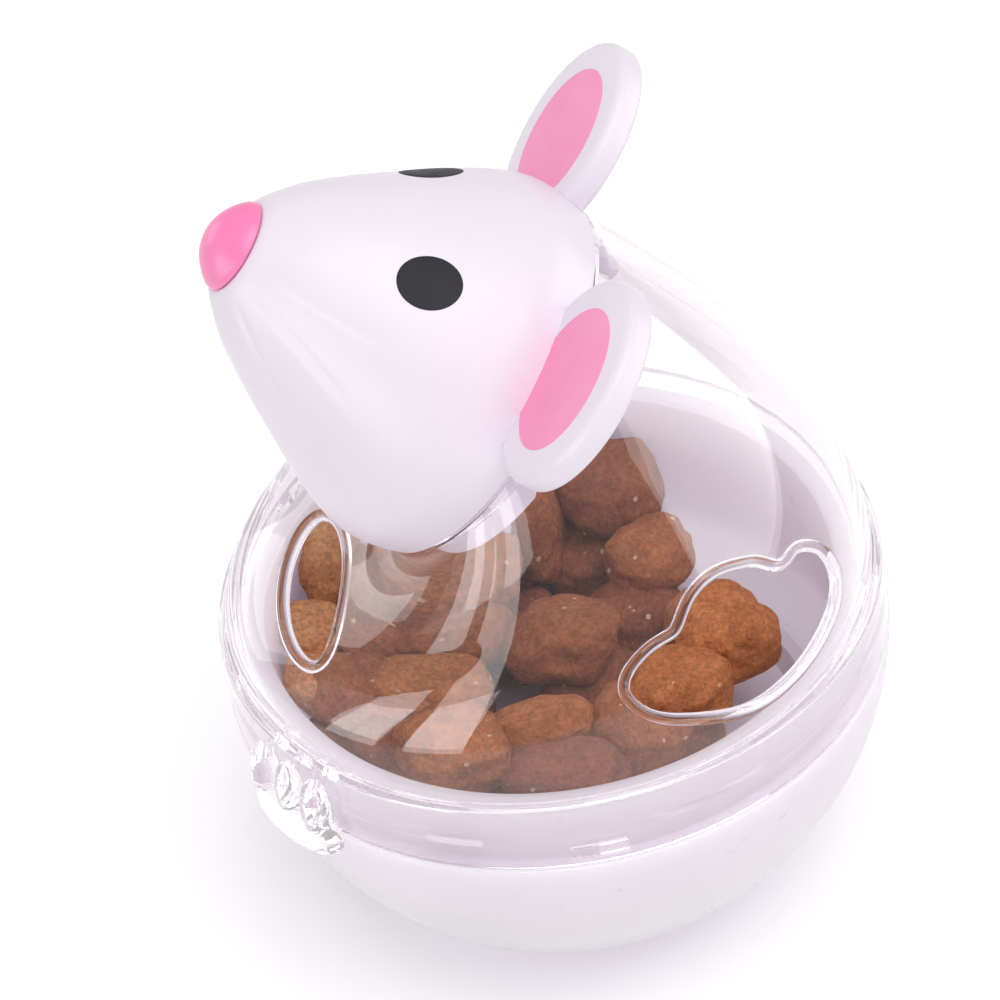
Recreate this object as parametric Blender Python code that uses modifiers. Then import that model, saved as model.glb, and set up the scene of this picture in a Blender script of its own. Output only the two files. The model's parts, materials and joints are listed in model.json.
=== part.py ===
"""Roly-poly mouse treat dispenser: a weighted bowl, a clear twist-lock lid and a plugged-on mouse head.

World frame: metres, +Z up along the bowl's axis, the mouse faces -Y, its left side is +X.
The origin is the centre of the small flat under the bowl.
Dimensions below are millimetres and degrees.
"""
import math

import bmesh
import bpy
from mathutils import Matrix, Vector

MM = 0.001
GAP = 0.3                 # clearance between touching pieces

# bowl: a ball cut off below by a standing flat
BALL_R = 32.5
FLAT_R = 10.0
BOWL_WALL = 2.2
BOWL_FLOOR = 2.2
BALL_Z = math.sqrt(BALL_R ** 2 - FLAT_R ** 2)      # height of the ball's centre above the flat
LEDGE_Z = -2.3            # ledge under the lid's skirt, measured from the ball's centre
RIM_TOP_Z = 4.3
RIM_OUTER_R = 30.2
RIM_INNER_R = 27.9
RIM_BEVEL = 0.4
BOWL_STEPS = 64

# twist-lock lugs
LUG_COUNT = 4
LUG_ARC = 10.0            # degrees taken by one lug
BOWL_LUG_START = -23.0
BOWL_LUG_R = 31.1
BOWL_LUG_Z = (0.0, 1.0)
BOWL_LUG_ROOT = 0.8       # how far a lug's root reaches into the wall
LID_LUG_START = 1.9
LID_LUG_R = 30.55
LID_LUG_Z = (-1.6, -0.6)
LID_LUG_ROOT = 0.5

# counterweight and the plate over it, heights from the flat
WEIGHT_TOP = 10.5
WEIGHT_CHAMFER = 0.8
COVER_BOTTOM = 10.9
COVER_TOP = 12.5
COVER_LIP_TOP = 14.2
COVER_LIP_WALL = 1.3
WEIGHT_STEPS = 48
COVER_STEPS = 60

# lid: skirt, dome and neck, heights from the ball's centre
LID_WALL = 1.6
SKIRT_BOTTOM_Z = -2.0
SKIRT_R = 32.3
BAND_TOP_Z = 1.3          # below this the skirt is thinned for the bowl's lugs
BAND_INNER_R = 31.5
BAND_CUT_DEPTH = 2.0      # how far the thinning cutter reaches inward from the band
SKIRT_PROFILE = ((SKIRT_R, SKIRT_BOTTOM_Z), (SKIRT_R, BAND_TOP_Z), (SKIRT_R, 4.7), (32.15, 5.2),
                 (31.85, 5.55))
DOME_R = 31.4
DOME_Z = 6.0
NECK_Y = -2.5
NECK_Z = 30.7
NECK_TILT = 42.4          # rise of the head's axis above the horizontal
NECK_R = 18.1
NECK_BORE_R = 16.0
NECK_OUTER_R = 17.85
NECK_TOP = -0.35
NECK_DEPTH = 3.2
REAR_HANDLE_LOW = 12.8    # Bezier handles of the dome's back and front outlines
REAR_HANDLE_TOP = 12.8
REAR_TOP_ANGLE = 47.5
FRONT_HANDLE_LOW = 5.5
FRONT_HANDLE_TOP = 8.0
FRONT_TOP_ANGLE = 38.0
SIDE_HANDLE_TOP = 4.5
LID_AROUND = 64
DOME_RINGS = 10

# side hole: a lopsided heart, outlined in the plane that faces this way
HEART_AZIMUTH = 43.0
HEART_ELEVATION = 22.0
HEART_OUTLINE = ((-6.9, 7.5), (-9.8, 7.3), (-12.4, 6.0), (-13.3, 4.0), (-12.2, 1.3), (-9.4, -1.0),
                 (-3.5, -3.8), (1.6, -4.3), (6.8, -3.4), (11.3, -1.5), (13.1, 1.0), (12.4, 4.2),
                 (9.4, 6.5), (6.2, 6.6), (3.6, 8.7), (-0.6, 10.2), (-4.0, 9.7))
HEART_CUT = (15.0, 50.0)  # where the cutter starts and ends along its facing
# front hole: an oval under the chin, on the mouse's left
OVAL_CENTRE = (6.8, -21.2, 13.0)
OVAL_HALF = (10.2, 3.8)
OVAL_LEAN = 30.0          # lean of the hole's axis forward from vertical
OVAL_CUT = (-6.0, 10.0)
OVAL_STEPS = 40

# front paws moulded on the skirt
PAW_AZIMUTHS = (-50.0, -130.0)
TOE_PITCH = 3.8
TOE_CENTRE = (32.9, 0.8)  # radius and height
TOE_HALF = (1.6, 1.5, 3.7)
PAD_CENTRE = (32.5, -2.9)
PAD_HALF = (2.4, 6.2, 3.1)
PAW_INNER_R = 32.8        # keeps the paw clear of the bowl
PAW_STEP_Z = -1.8         # above this the paw runs into the skirt's wall
PAW_ROOT = 0.4            # how far the paw's root reaches into that wall
PAW_CUT_TOP = 12.0
PAW_CUT_LOW_ANGLE = -40.0
PAW_CUT_STEPS = 96

# head: a turned shell on the neck's axis, given as (distance from the neck plane, radius)
HEAD_PROFILE = ((0.3, 18.1), (2.6, 18.6), (5.5, 18.7), (8.5, 17.8), (12.0, 16.1), (16.0, 13.8),
                (20.0, 11.4), (24.0, 8.7), (26.2, 6.7), (27.4, 5.4), (27.8, 4.7))
HEAD_WALL = 1.6
HEAD_STEPS = 48
# nose: a domed cap on a stub, given as (radius, drop below the tip)
NOSE_HOLE_R = 3.0
NOSE_LENGTH = 2.85
NOSE_BASE_R = 4.5
NOSE_DOME = ((0.0, 0.0), (1.2, 0.16), (2.2, 0.55), (3.1, 1.15), (3.8, 1.8), (4.3, 2.4))
NOSE_STUB_R = 2.7
NOSE_STUB_LENGTH = 3.5
NOSE_STUB_BEVEL = 0.3
NOSE_STEPS = 40
# push-in collar: a flange inside the head, tabs below it
COLLAR_OUTER_R = 15.7
COLLAR_INNER_R = 14.4
COLLAR_DEPTH = 4.2
COLLAR_FLANGE_TOP = 1.8
COLLAR_FLANGE_R = 16.2
COLLAR_SLOTS = (20.0, 90.0, 160.0, 270.0)
COLLAR_SLOT_WIDTH = 5.0
COLLAR_SLOT_END = -0.6
COLLAR_SLOT_REACH = (10.0, 20.0)
COLLAR_BEVEL = 0.4
COLLAR_STEPS = 72
CUT_CLEAR = 1.0           # how far a cutter passes the face it opens

# eyes: oval inlays
EYE_ALONG = 14.6          # distance along the head's axis
EYE_ANGLE = 56.0
EYE_RADIUS = 14.6
EYE_SLOPE = 29.0
EYE_HALF = (3.1, 2.65)
EYE_THICK = 0.45
EYE_REACH = 4.0           # half length of the oval bar an eye is cut from
EYE_STEPS = 40

# ears: thick round slabs standing square to the head's axis
EAR_ANGLE = 42.4
EAR_CENTRE_R = 24.1
EAR_R = 10.1
EAR_FRONT = 2.9
EAR_EDGE = 0.5
EAR_EDGE_STEP = 0.15
EAR_STEPS = 48
EAR_ROOT_R = 17.05        # the ear stops here, inside the head's wall
EAR_ROOT_CUT = (-3.0, 6.0)
EAR_NOTCH_LOW = -2.0
PAD_R = 7.0
PAD_THICK = 0.4
PAD_STEPS = 44
PAD_ROOT_R = 19.0         # the pink pad stops here, clear of the head's wall
PAD_ROOT_CUT = (-3.0, 9.0)
ROOT_STEPS = 72

COLOURS = {
    "white": ((0.86, 0.82, 0.88, 1.0), 0.28, 0.0),
    "clear": ((0.93, 0.92, 0.96, 0.30), 0.05, 0.0),
    "pink": ((0.95, 0.22, 0.47, 1.0), 0.35, 0.0),
    "ear_pink": ((0.93, 0.30, 0.52, 1.0), 0.5, 0.0),
    "black": ((0.03, 0.028, 0.04, 1.0), 0.55, 0.0),
    "steel": ((0.55, 0.55, 0.56, 1.0), 0.35, 1.0),
}

WELD = 0.00001            # metres, points closer than this are one


def clear_scene():
    for obj in list(bpy.data.objects):
        bpy.data.objects.remove(obj, do_unlink=True)


def new_collection(name):
    coll = bpy.data.collections.new(name)
    bpy.context.scene.collection.children.link(coll)
    return coll


clear_scene()
PARTS = new_collection("mouse_treat_dispenser")
CUTTERS = new_collection("cutters")


def paint(obj, colour):
    rgba, rough, metal = COLOURS[colour]
    mat = bpy.data.materials.new(obj.name + "_material")
    mat.use_nodes = True
    shader = mat.node_tree.nodes["Principled BSDF"]
    shader.inputs["Base Color"].default_value = rgba
    shader.inputs["Roughness"].default_value = rough
    shader.inputs["Metallic"].default_value = metal
    shader.inputs["Alpha"].default_value = rgba[3]
    obj.data.materials.clear()
    obj.data.materials.append(mat)


def mesh_object(name, verts, edges, faces, coll):
    """Make an object from points in millimetres."""
    mesh = bpy.data.meshes.new(name)
    mesh.from_pydata([(x * MM, y * MM, z * MM) for x, y, z in verts], edges, faces)
    mesh.update()
    obj = bpy.data.objects.new(name, mesh)
    coll.objects.link(obj)
    return obj


def bmesh_object(name, bm, coll):
    """Make an object from a bmesh drawn in millimetres."""
    bmesh.ops.scale(bm, vec=Vector((MM, MM, MM)), verts=bm.verts)
    mesh = bpy.data.meshes.new(name)
    bm.to_mesh(mesh)
    bm.free()
    obj = bpy.data.objects.new(name, mesh)
    coll.objects.link(obj)
    return obj


def apply_modifiers(obj):
    """Replace the object's mesh with its evaluated one."""
    bpy.context.view_layer.update()
    graph = bpy.context.evaluated_depsgraph_get()
    mesh = bpy.data.meshes.new_from_object(obj.evaluated_get(graph))
    obj.modifiers.clear()
    obj.data = mesh
    return obj


def outward(obj):
    """Weld doubles and turn all faces outward."""
    bm = bmesh.new()
    bm.from_mesh(obj.data)
    bmesh.ops.remove_doubles(bm, verts=bm.verts, dist=WELD)
    bmesh.ops.recalc_face_normals(bm, faces=bm.faces)
    bm.to_mesh(obj.data)
    bm.free()
    return obj


def turned(name, profile, steps, coll):
    """Turn a profile of (radius, height) points about Z. It runs down the outer side."""
    verts = [(r, 0.0, z) for r, z in profile]
    edges = [(i, i + 1) for i in range(len(verts) - 1)]
    obj = mesh_object(name, verts, edges, [], coll)
    screw = obj.modifiers.new("turn", 'SCREW')
    screw.axis = 'Z'
    screw.steps = steps
    screw.render_steps = steps
    screw.use_merge_vertices = True
    screw.merge_threshold = 0.0001
    screw.use_smooth_shade = True
    return apply_modifiers(obj)


def turned_solid(name, profile, steps, coll):
    return outward(turned(name, profile, steps, coll))


def prism(name, outline, low, high, coll):
    """A flat outline of (x, y) points given a thickness, from low to high along Z."""
    curve = bpy.data.curves.new(name, 'CURVE')
    curve.dimensions = '2D'
    curve.fill_mode = 'BOTH'
    curve.extrude = (high - low) / 2 * MM
    spline = curve.splines.new('POLY')
    spline.points.add(len(outline) - 1)
    for point, (x, y) in zip(spline.points, outline):
        point.co = (x * MM, y * MM, 0.0, 1.0)
    spline.use_cyclic_u = True
    drawn = bpy.data.objects.new(name + "_outline", curve)
    coll.objects.link(drawn)
    bpy.context.view_layer.update()
    graph = bpy.context.evaluated_depsgraph_get()
    mesh = bpy.data.meshes.new_from_object(drawn.evaluated_get(graph))
    bpy.data.objects.remove(drawn, do_unlink=True)
    obj = bpy.data.objects.new(name, mesh)
    coll.objects.link(obj)
    place(obj, Matrix.Translation((0.0, 0.0, (low + high) / 2)))
    return join_flat_faces(outward(obj))


def join_flat_faces(obj):
    """Merge neighbouring faces that lie in one plane."""
    bm = bmesh.new()
    bm.from_mesh(obj.data)
    bmesh.ops.dissolve_limit(bm, angle_limit=0.001, verts=bm.verts, edges=bm.edges)
    bm.to_mesh(obj.data)
    bm.free()
    return obj


def bar(name, half, low, high, steps, coll):
    """A round or oval bar about Z, with half sizes along X and Y, from low to high."""
    bm = bmesh.new()
    bmesh.ops.create_cone(bm, cap_ends=True, segments=steps, radius1=1.0, radius2=1.0, depth=high - low)
    bmesh.ops.scale(bm, vec=Vector((half[0], half[1], 1.0)), verts=bm.verts)
    bmesh.ops.translate(bm, vec=Vector((0.0, 0.0, (low + high) / 2)), verts=bm.verts)
    return outward(bmesh_object(name, bm, coll))


def block(name, x_range, y_range, z_range, coll):
    """A box between two corners."""
    low = Vector((x_range[0], y_range[0], z_range[0]))
    high = Vector((x_range[1], y_range[1], z_range[1]))
    bm = bmesh.new()
    bmesh.ops.create_cube(bm, size=1.0)
    bmesh.ops.scale(bm, vec=high - low, verts=bm.verts)
    bmesh.ops.translate(bm, vec=(low + high) / 2, verts=bm.verts)
    return outward(bmesh_object(name, bm, coll))


def ellipsoid(name, half, coll):
    """A round block with the given half sizes, centred on the origin."""
    bm = bmesh.new()
    bmesh.ops.create_uvsphere(bm, u_segments=16, v_segments=10, radius=1.0)
    bmesh.ops.scale(bm, vec=Vector(half), verts=bm.verts)
    return bmesh_object(name, bm, coll)


def sector(name, r_in, r_out, start, arc, low, high, coll):
    """A block that is part of a ring about Z."""
    count = 4
    angles = [math.radians(start + arc * i / count) for i in range(count + 1)]
    outline = [(r_out * math.cos(a), r_out * math.sin(a)) for a in angles]
    outline += [(r_in * math.cos(a), r_in * math.sin(a)) for a in reversed(angles)]
    return prism(name, outline, low, high, coll)


def combine(target, tool, operation):
    """Cut, join or intersect the target with the tool; the tool stays among the cutters."""
    mod = target.modifiers.new("bool", 'BOOLEAN')
    mod.operation = operation
    mod.solver = 'EXACT'
    mod.object = tool
    apply_modifiers(target)
    return target


def place(obj, matrix):
    """Move the mesh itself; translation in the matrix is millimetres."""
    scaled = matrix.copy()
    scaled.translation = matrix.translation * MM
    obj.data.transform(scaled)
    return obj


def finish(obj, colour, origin, sharp=35.0):
    """Clean up a part drawn about its origin, and put the origin in the world."""
    outward(obj)
    obj.data.shade_smooth()
    obj.data.set_sharp_from_angle(angle=math.radians(sharp))
    world = origin.copy()
    world.translation = origin.translation * MM
    obj.matrix_world = world
    paint(obj, colour)
    return obj


def arc_points(cx, cz, radius, start, end, count):
    """Points on an arc in the (radius, height) plane, angles in degrees."""
    out = []
    for i in range(count + 1):
        a = math.radians(start + (end - start) * i / count)
        out.append((cx + radius * math.cos(a), cz + radius * math.sin(a)))
    return out


def bezier(p0, p1, p2, p3, t):
    s = 1.0 - t
    return tuple(s ** 3 * a + 3 * s * s * t * b + 3 * s * t * t * c + t ** 3 * d
                 for a, b, c, d in zip(p0, p1, p2, p3))


def smooth_outline(points, per_span):
    """A closed Catmull-Rom curve through the points, with a corner at the first one."""
    n = len(points)
    out = []
    for i in range(n):
        p1 = Vector(points[i])
        p2 = Vector(points[(i + 1) % n])
        m1 = (p2 - Vector(points[i - 1])) * 0.5 if i else (p2 - p1)
        last = (i + 1) % n == 0
        m2 = (p2 - p1) if last else (Vector(points[(i + 2) % n]) - p1) * 0.5
        for k in range(per_span):
            t = k / per_span
            a = 2 * t ** 3 - 3 * t ** 2 + 1
            b = t ** 3 - 2 * t ** 2 + t
            c = -2 * t ** 3 + 3 * t ** 2
            d = t ** 3 - t ** 2
            out.append(tuple(a * p1 + b * m1 + c * p2 + d * m2))
    return out


def facing(azimuth, elevation):
    """Axes whose Z looks out at the azimuth and elevation, X level and Y up."""
    a = math.radians(azimuth)
    e = math.radians(elevation)
    z_axis = Vector((math.cos(a) * math.cos(e), math.sin(a) * math.cos(e), math.sin(e)))
    x_axis = Vector((-math.sin(a), math.cos(a), 0.0))
    y_axis = z_axis.cross(x_axis)
    return Matrix((x_axis, y_axis, z_axis)).transposed().to_4x4()


WORLD = Matrix.Identity(4)
BALL = Matrix.Translation((0.0, 0.0, BALL_Z))
tilt = math.radians(NECK_TILT)
HEAD_AXIS = Vector((0.0, -math.cos(tilt), math.sin(tilt)))
HEAD_UP = Vector((0.0, math.sin(tilt), math.cos(tilt)))
HEAD_SIDE = Vector((1.0, 0.0, 0.0))
# the head's own frame: X to its left, Y up across the neck, Z out along the neck
NECK = Matrix((HEAD_SIDE, HEAD_UP, HEAD_AXIS)).transposed().to_4x4()
NECK.translation = Vector((0.0, NECK_Y, NECK_Z))
HEAD = BALL @ NECK


def build_bowl():
    inner_r = BALL_R - BOWL_WALL
    floor_z = BOWL_FLOOR - BALL_Z
    start = math.degrees(math.asin(floor_z / inner_r))
    flat = math.degrees(math.asin(-BALL_Z / BALL_R))
    ledge = math.degrees(math.asin(LEDGE_Z / BALL_R))
    inner_top = math.degrees(math.acos(RIM_INNER_R / inner_r))
    profile = [(0.0, floor_z)]
    profile += arc_points(0.0, 0.0, inner_r, start, -inner_top, 8)
    profile += [(RIM_INNER_R, RIM_TOP_Z - RIM_BEVEL), (RIM_INNER_R + RIM_BEVEL, RIM_TOP_Z),
                (RIM_OUTER_R - RIM_BEVEL, RIM_TOP_Z), (RIM_OUTER_R, RIM_TOP_Z - RIM_BEVEL),
                (RIM_OUTER_R, LEDGE_Z)]
    profile += arc_points(0.0, 0.0, BALL_R, ledge, flat, 9)
    profile += [(0.0, -BALL_Z)]
    bowl = turned_solid("bowl", profile, BOWL_STEPS, PARTS)
    for i in range(LUG_COUNT):
        start = BOWL_LUG_START + 360.0 * i / LUG_COUNT
        lug = sector("bowl_lug_%d" % i, RIM_OUTER_R - BOWL_LUG_ROOT, BOWL_LUG_R, start, LUG_ARC,
                     BOWL_LUG_Z[0], BOWL_LUG_Z[1], CUTTERS)
        combine(bowl, lug, 'UNION')
    place(bowl, BALL)
    return finish(bowl, "white", WORLD)


def build_counterweight():
    radius = BALL_R - BOWL_WALL - 2 * GAP
    low = BOWL_FLOOR + GAP - BALL_Z
    high = WEIGHT_TOP - BALL_Z
    low_angle = math.degrees(math.asin(low / radius))
    high_angle = math.degrees(math.asin((high - WEIGHT_CHAMFER) / radius))
    top_r = radius * math.cos(math.radians(high_angle)) - WEIGHT_CHAMFER
    profile = [(0.0, high), (top_r, high)]
    profile += arc_points(0.0, 0.0, radius, high_angle, low_angle, 6)
    profile += [(0.0, low)]
    slug = turned_solid("counterweight", profile, WEIGHT_STEPS, PARTS)
    place(slug, BALL)
    return finish(slug, "steel", WORLD)


def build_weight_cover():
    radius = BALL_R - BOWL_WALL - GAP

    def reach(height):
        return math.sqrt(radius ** 2 - (BALL_Z - height) ** 2)

    profile = [(0.0, COVER_TOP), (reach(COVER_TOP) - COVER_LIP_WALL, COVER_TOP),
               (reach(COVER_LIP_TOP) - COVER_LIP_WALL, COVER_LIP_TOP),
               (reach(COVER_LIP_TOP), COVER_LIP_TOP), (reach(COVER_TOP), COVER_TOP),
               (reach(COVER_BOTTOM), COVER_BOTTOM), (0.0, COVER_BOTTOM)]
    cover = turned_solid("weight_cover", profile, COVER_STEPS, PARTS)
    return finish(cover, "white", WORLD)


def lid_surface_rings():
    """Outer rings of the lid from the skirt's lower edge to the neck."""
    neck_up = Vector((math.sin(tilt), math.cos(tilt))) * NECK_R
    back_top = (NECK_Y + neck_up.x, NECK_Z + neck_up.y)
    front_top = (NECK_Y - neck_up.x, NECK_Z - neck_up.y)
    rear_a = math.radians(REAR_TOP_ANGLE)
    front_a = math.radians(FRONT_TOP_ANGLE)
    rear = ((DOME_R, DOME_Z), (DOME_R, DOME_Z + REAR_HANDLE_LOW),
            (back_top[0] + REAR_HANDLE_TOP * math.cos(rear_a),
             back_top[1] - REAR_HANDLE_TOP * math.sin(rear_a)), back_top)
    front = ((-DOME_R, DOME_Z), (-DOME_R, DOME_Z + FRONT_HANDLE_LOW),
             (front_top[0] - FRONT_HANDLE_TOP * math.cos(front_a),
              front_top[1] - FRONT_HANDLE_TOP * math.sin(front_a)), front_top)
    side = ((DOME_R,), (DOME_R,), (NECK_R + SIDE_HANDLE_TOP,), (NECK_R,))
    rings = [(r, r, -r, z, z) for r, z in SKIRT_PROFILE]
    for k in range(DOME_RINGS + 1):
        t = k / DOME_RINGS
        back = bezier(*rear, t)
        fore = bezier(*front, t)
        half = bezier(*side, t)[0]
        rings.append((half, back[0], fore[0], back[1], fore[1]))
    return rings


def lid_wall():
    """The lid's wall: a loft through the rings, thickened inward."""
    verts = []
    rings = lid_surface_rings()
    for half, y_back, y_fore, z_back, z_fore in rings:
        for i in range(LID_AROUND):
            a = 2 * math.pi * i / LID_AROUND
            y = (y_back + y_fore) / 2 + (y_back - y_fore) / 2 * math.sin(a)
            z = (z_back + z_fore) / 2 + (z_back - z_fore) / 2 * math.sin(a)
            verts.append((half * math.cos(a), y, z))
    faces = []
    for k in range(len(rings) - 1):
        for i in range(LID_AROUND):
            j = (i + 1) % LID_AROUND
            faces.append((k * LID_AROUND + i, k * LID_AROUND + j,
                          (k + 1) * LID_AROUND + j, (k + 1) * LID_AROUND + i))
    lid = mesh_object("lid", verts, [], faces, PARTS)
    solid = lid.modifiers.new("wall", 'SOLIDIFY')
    solid.thickness = LID_WALL * MM
    solid.offset = -1.0
    solid.use_even_offset = True
    apply_modifiers(lid)
    return outward(lid)


def pipe(name, inner, outer, low, high, steps, coll):
    """A round pipe about Z."""
    profile = [(inner, high), (outer, high), (outer, low), (inner, low), (inner, high)]
    return turned_solid(name, profile, steps, coll)


def build_lid():
    lid = lid_wall()
    band = pipe("band", BAND_INNER_R - BAND_CUT_DEPTH, BAND_INNER_R, SKIRT_BOTTOM_Z - CUT_CLEAR, BAND_TOP_Z,
                LID_AROUND, CUTTERS)
    combine(lid, band, 'DIFFERENCE')
    for i in range(LUG_COUNT):
        start = LID_LUG_START + 360.0 * i / LUG_COUNT
        lug = sector("lid_lug_%d" % i, LID_LUG_R, BAND_INNER_R + LID_LUG_ROOT, start, LUG_ARC,
                     LID_LUG_Z[0], LID_LUG_Z[1], CUTTERS)
        combine(lid, lug, 'UNION')

    neck = pipe("neck", NECK_BORE_R, NECK_OUTER_R, -NECK_DEPTH, NECK_TOP, LID_AROUND, CUTTERS)
    place(neck, NECK)
    combine(lid, neck, 'UNION')

    heart = prism("heart", smooth_outline(HEART_OUTLINE, 4), HEART_CUT[0], HEART_CUT[1], CUTTERS)
    place(heart, facing(HEART_AZIMUTH, HEART_ELEVATION))
    combine(lid, heart, 'DIFFERENCE')

    oval = bar("oval", OVAL_HALF, OVAL_CUT[0], OVAL_CUT[1], OVAL_STEPS, CUTTERS)
    place(oval, Matrix.Translation(OVAL_CENTRE) @ Matrix.Rotation(math.radians(OVAL_LEAN), 4, 'X'))
    combine(lid, oval, 'DIFFERENCE')

    for k, azimuth in enumerate(PAW_AZIMUTHS):
        combine(lid, build_paw(k, azimuth), 'UNION')
    return finish(lid, "clear", BALL)


def build_paw(index, azimuth):
    """A round pad with three toes, hollowed to sit on the skirt."""
    turn = Matrix.Rotation(math.radians(azimuth), 4, 'Z')
    paw = ellipsoid("paw_%d" % index, PAD_HALF, CUTTERS)
    place(paw, Matrix.Translation((PAD_CENTRE[0], 0.0, PAD_CENTRE[1])))
    for t in (-1, 0, 1):
        toe = ellipsoid("toe_%d_%d" % (index, t), TOE_HALF, CUTTERS)
        place(toe, Matrix.Translation((TOE_CENTRE[0], t * TOE_PITCH, TOE_CENTRE[1])))
        combine(paw, toe, 'UNION')
    step = math.degrees(math.asin(PAW_STEP_Z / PAW_INNER_R))
    root_r = SKIRT_R - PAW_ROOT
    profile = [(0.0, PAW_CUT_TOP), (root_r, PAW_CUT_TOP), (root_r, PAW_STEP_Z)]
    profile += arc_points(0.0, 0.0, PAW_INNER_R, step, PAW_CUT_LOW_ANGLE, 16)
    profile += [(0.0, PAW_INNER_R * math.sin(math.radians(PAW_CUT_LOW_ANGLE)))]
    inner = turned_solid("paw_inner_%d" % index, profile, PAW_CUT_STEPS, CUTTERS)
    combine(paw, inner, 'DIFFERENCE')
    return place(paw, turn)


def head_solid(name, offset):
    """The head's outer shape as a solid, moved in by the offset."""
    profile = [(0.0, HEAD_PROFILE[-1][0] - offset)]
    profile += [(r - offset, s) for s, r in reversed(HEAD_PROFILE)]
    profile += [(0.0, HEAD_PROFILE[0][0])]
    return turned_solid(name, profile, HEAD_STEPS, CUTTERS)


def eye_matrix(side):
    """Axes of an eye: Z out of the head, X along its length."""
    a = math.radians(EYE_ANGLE)
    slope = math.radians(EYE_SLOPE)
    radial = Vector((side * math.cos(a), math.sin(a), 0.0))
    axis = Vector((0.0, 0.0, 1.0))
    out = radial * math.cos(slope) + axis * math.sin(slope)
    along = axis * math.cos(slope) - radial * math.sin(slope)
    across = out.cross(along)
    matrix = Matrix((along, across, out)).transposed().to_4x4()
    matrix.translation = radial * EYE_RADIUS + axis * EYE_ALONG
    return matrix


def ear_matrix(side):
    a = math.radians(EAR_ANGLE)
    return Matrix.Translation((side * EAR_CENTRE_R * math.cos(a), EAR_CENTRE_R * math.sin(a), 0.0))


def build_eye(side, name):
    eye = bar(name, EYE_HALF, -EYE_REACH, EYE_REACH, EYE_STEPS, PARTS)
    place(eye, eye_matrix(side))
    combine(eye, head_solid(name + "_outer", 0.0), 'INTERSECT')
    combine(eye, head_solid(name + "_inner", EYE_THICK), 'DIFFERENCE')
    return finish(eye, "black", HEAD)


def build_ear(side, name):
    """An ear slab with a shallow round pocket in its front face, cut off inside the head's wall."""
    step = EAR_EDGE_STEP
    disc = [(0.0, EAR_FRONT), (EAR_R - EAR_EDGE, EAR_FRONT), (EAR_R - step, EAR_FRONT - step),
            (EAR_R, EAR_FRONT - EAR_EDGE), (EAR_R, GAP + EAR_EDGE), (EAR_R - step, GAP + step),
            (EAR_R - EAR_EDGE, GAP), (0.0, GAP)]
    ear = turned_solid(name, disc, EAR_STEPS, PARTS)
    pocket_r = PAD_R + GAP
    pocket = bar(name + "_pocket", (pocket_r, pocket_r), EAR_FRONT - PAD_THICK - GAP, EAR_FRONT + CUT_CLEAR,
                 PAD_STEPS, CUTTERS)
    combine(ear, pocket, 'DIFFERENCE')
    place(ear, ear_matrix(side))
    root = bar(name + "_root", (EAR_ROOT_R, EAR_ROOT_R), EAR_ROOT_CUT[0], EAR_ROOT_CUT[1],
               ROOT_STEPS, CUTTERS)
    combine(ear, root, 'DIFFERENCE')
    finish(ear, "white", HEAD)


def build_ear_pad(side, name):
    pad = bar(name, (PAD_R, PAD_R), EAR_FRONT - PAD_THICK, EAR_FRONT, PAD_STEPS, PARTS)
    place(pad, ear_matrix(side))
    root = bar(name + "_root", (PAD_ROOT_R, PAD_ROOT_R), PAD_ROOT_CUT[0], PAD_ROOT_CUT[1],
               ROOT_STEPS, CUTTERS)
    combine(pad, root, 'DIFFERENCE')
    finish(pad, "ear_pink", HEAD)


def build_head_shell():
    profile = [(NOSE_HOLE_R, HEAD_PROFILE[-1][0])]
    profile += [(r, s) for s, r in reversed(HEAD_PROFILE)]
    shell = turned("head_shell", profile, HEAD_STEPS, PARTS)
    bm = bmesh.new()
    bm.from_mesh(shell.data)
    bmesh.ops.remove_doubles(bm, verts=bm.verts, dist=WELD)
    bm.to_mesh(shell.data)
    bm.free()
    solid = shell.modifiers.new("wall", 'SOLIDIFY')
    solid.thickness = HEAD_WALL * MM
    solid.offset = -1.0
    solid.use_even_offset = True
    apply_modifiers(shell)
    outward(shell)
    for side, name in ((1, "left"), (-1, "right")):
        notch_r = EAR_R + GAP
        notch = bar("notch_" + name, (notch_r, notch_r), EAR_NOTCH_LOW, EAR_FRONT + GAP, EAR_STEPS, CUTTERS)
        place(notch, ear_matrix(side))
        combine(shell, notch, 'DIFFERENCE')
        pocket_half = (EYE_HALF[0] + GAP, EYE_HALF[1] + GAP)
        pocket = bar("eye_pocket_" + name, pocket_half, -EYE_REACH, EYE_REACH, EYE_STEPS, CUTTERS)
        place(pocket, eye_matrix(side))
        combine(pocket, head_solid("eye_floor_" + name, EYE_THICK + GAP), 'DIFFERENCE')
        combine(shell, pocket, 'DIFFERENCE')
    return finish(shell, "white", HEAD)


def build_nose():
    base = HEAD_PROFILE[-1][0] + GAP
    tip = base + NOSE_LENGTH
    profile = [(r, tip - drop) for r, drop in NOSE_DOME]
    stub_end = base - NOSE_STUB_LENGTH
    profile += [(NOSE_BASE_R, base), (NOSE_STUB_R, base), (NOSE_STUB_R, stub_end + NOSE_STUB_BEVEL),
                (NOSE_STUB_R - NOSE_STUB_BEVEL, stub_end), (0.0, stub_end)]
    nose = turned_solid("nose", profile, NOSE_STEPS, PARTS)
    return finish(nose, "pink", HEAD)


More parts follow.
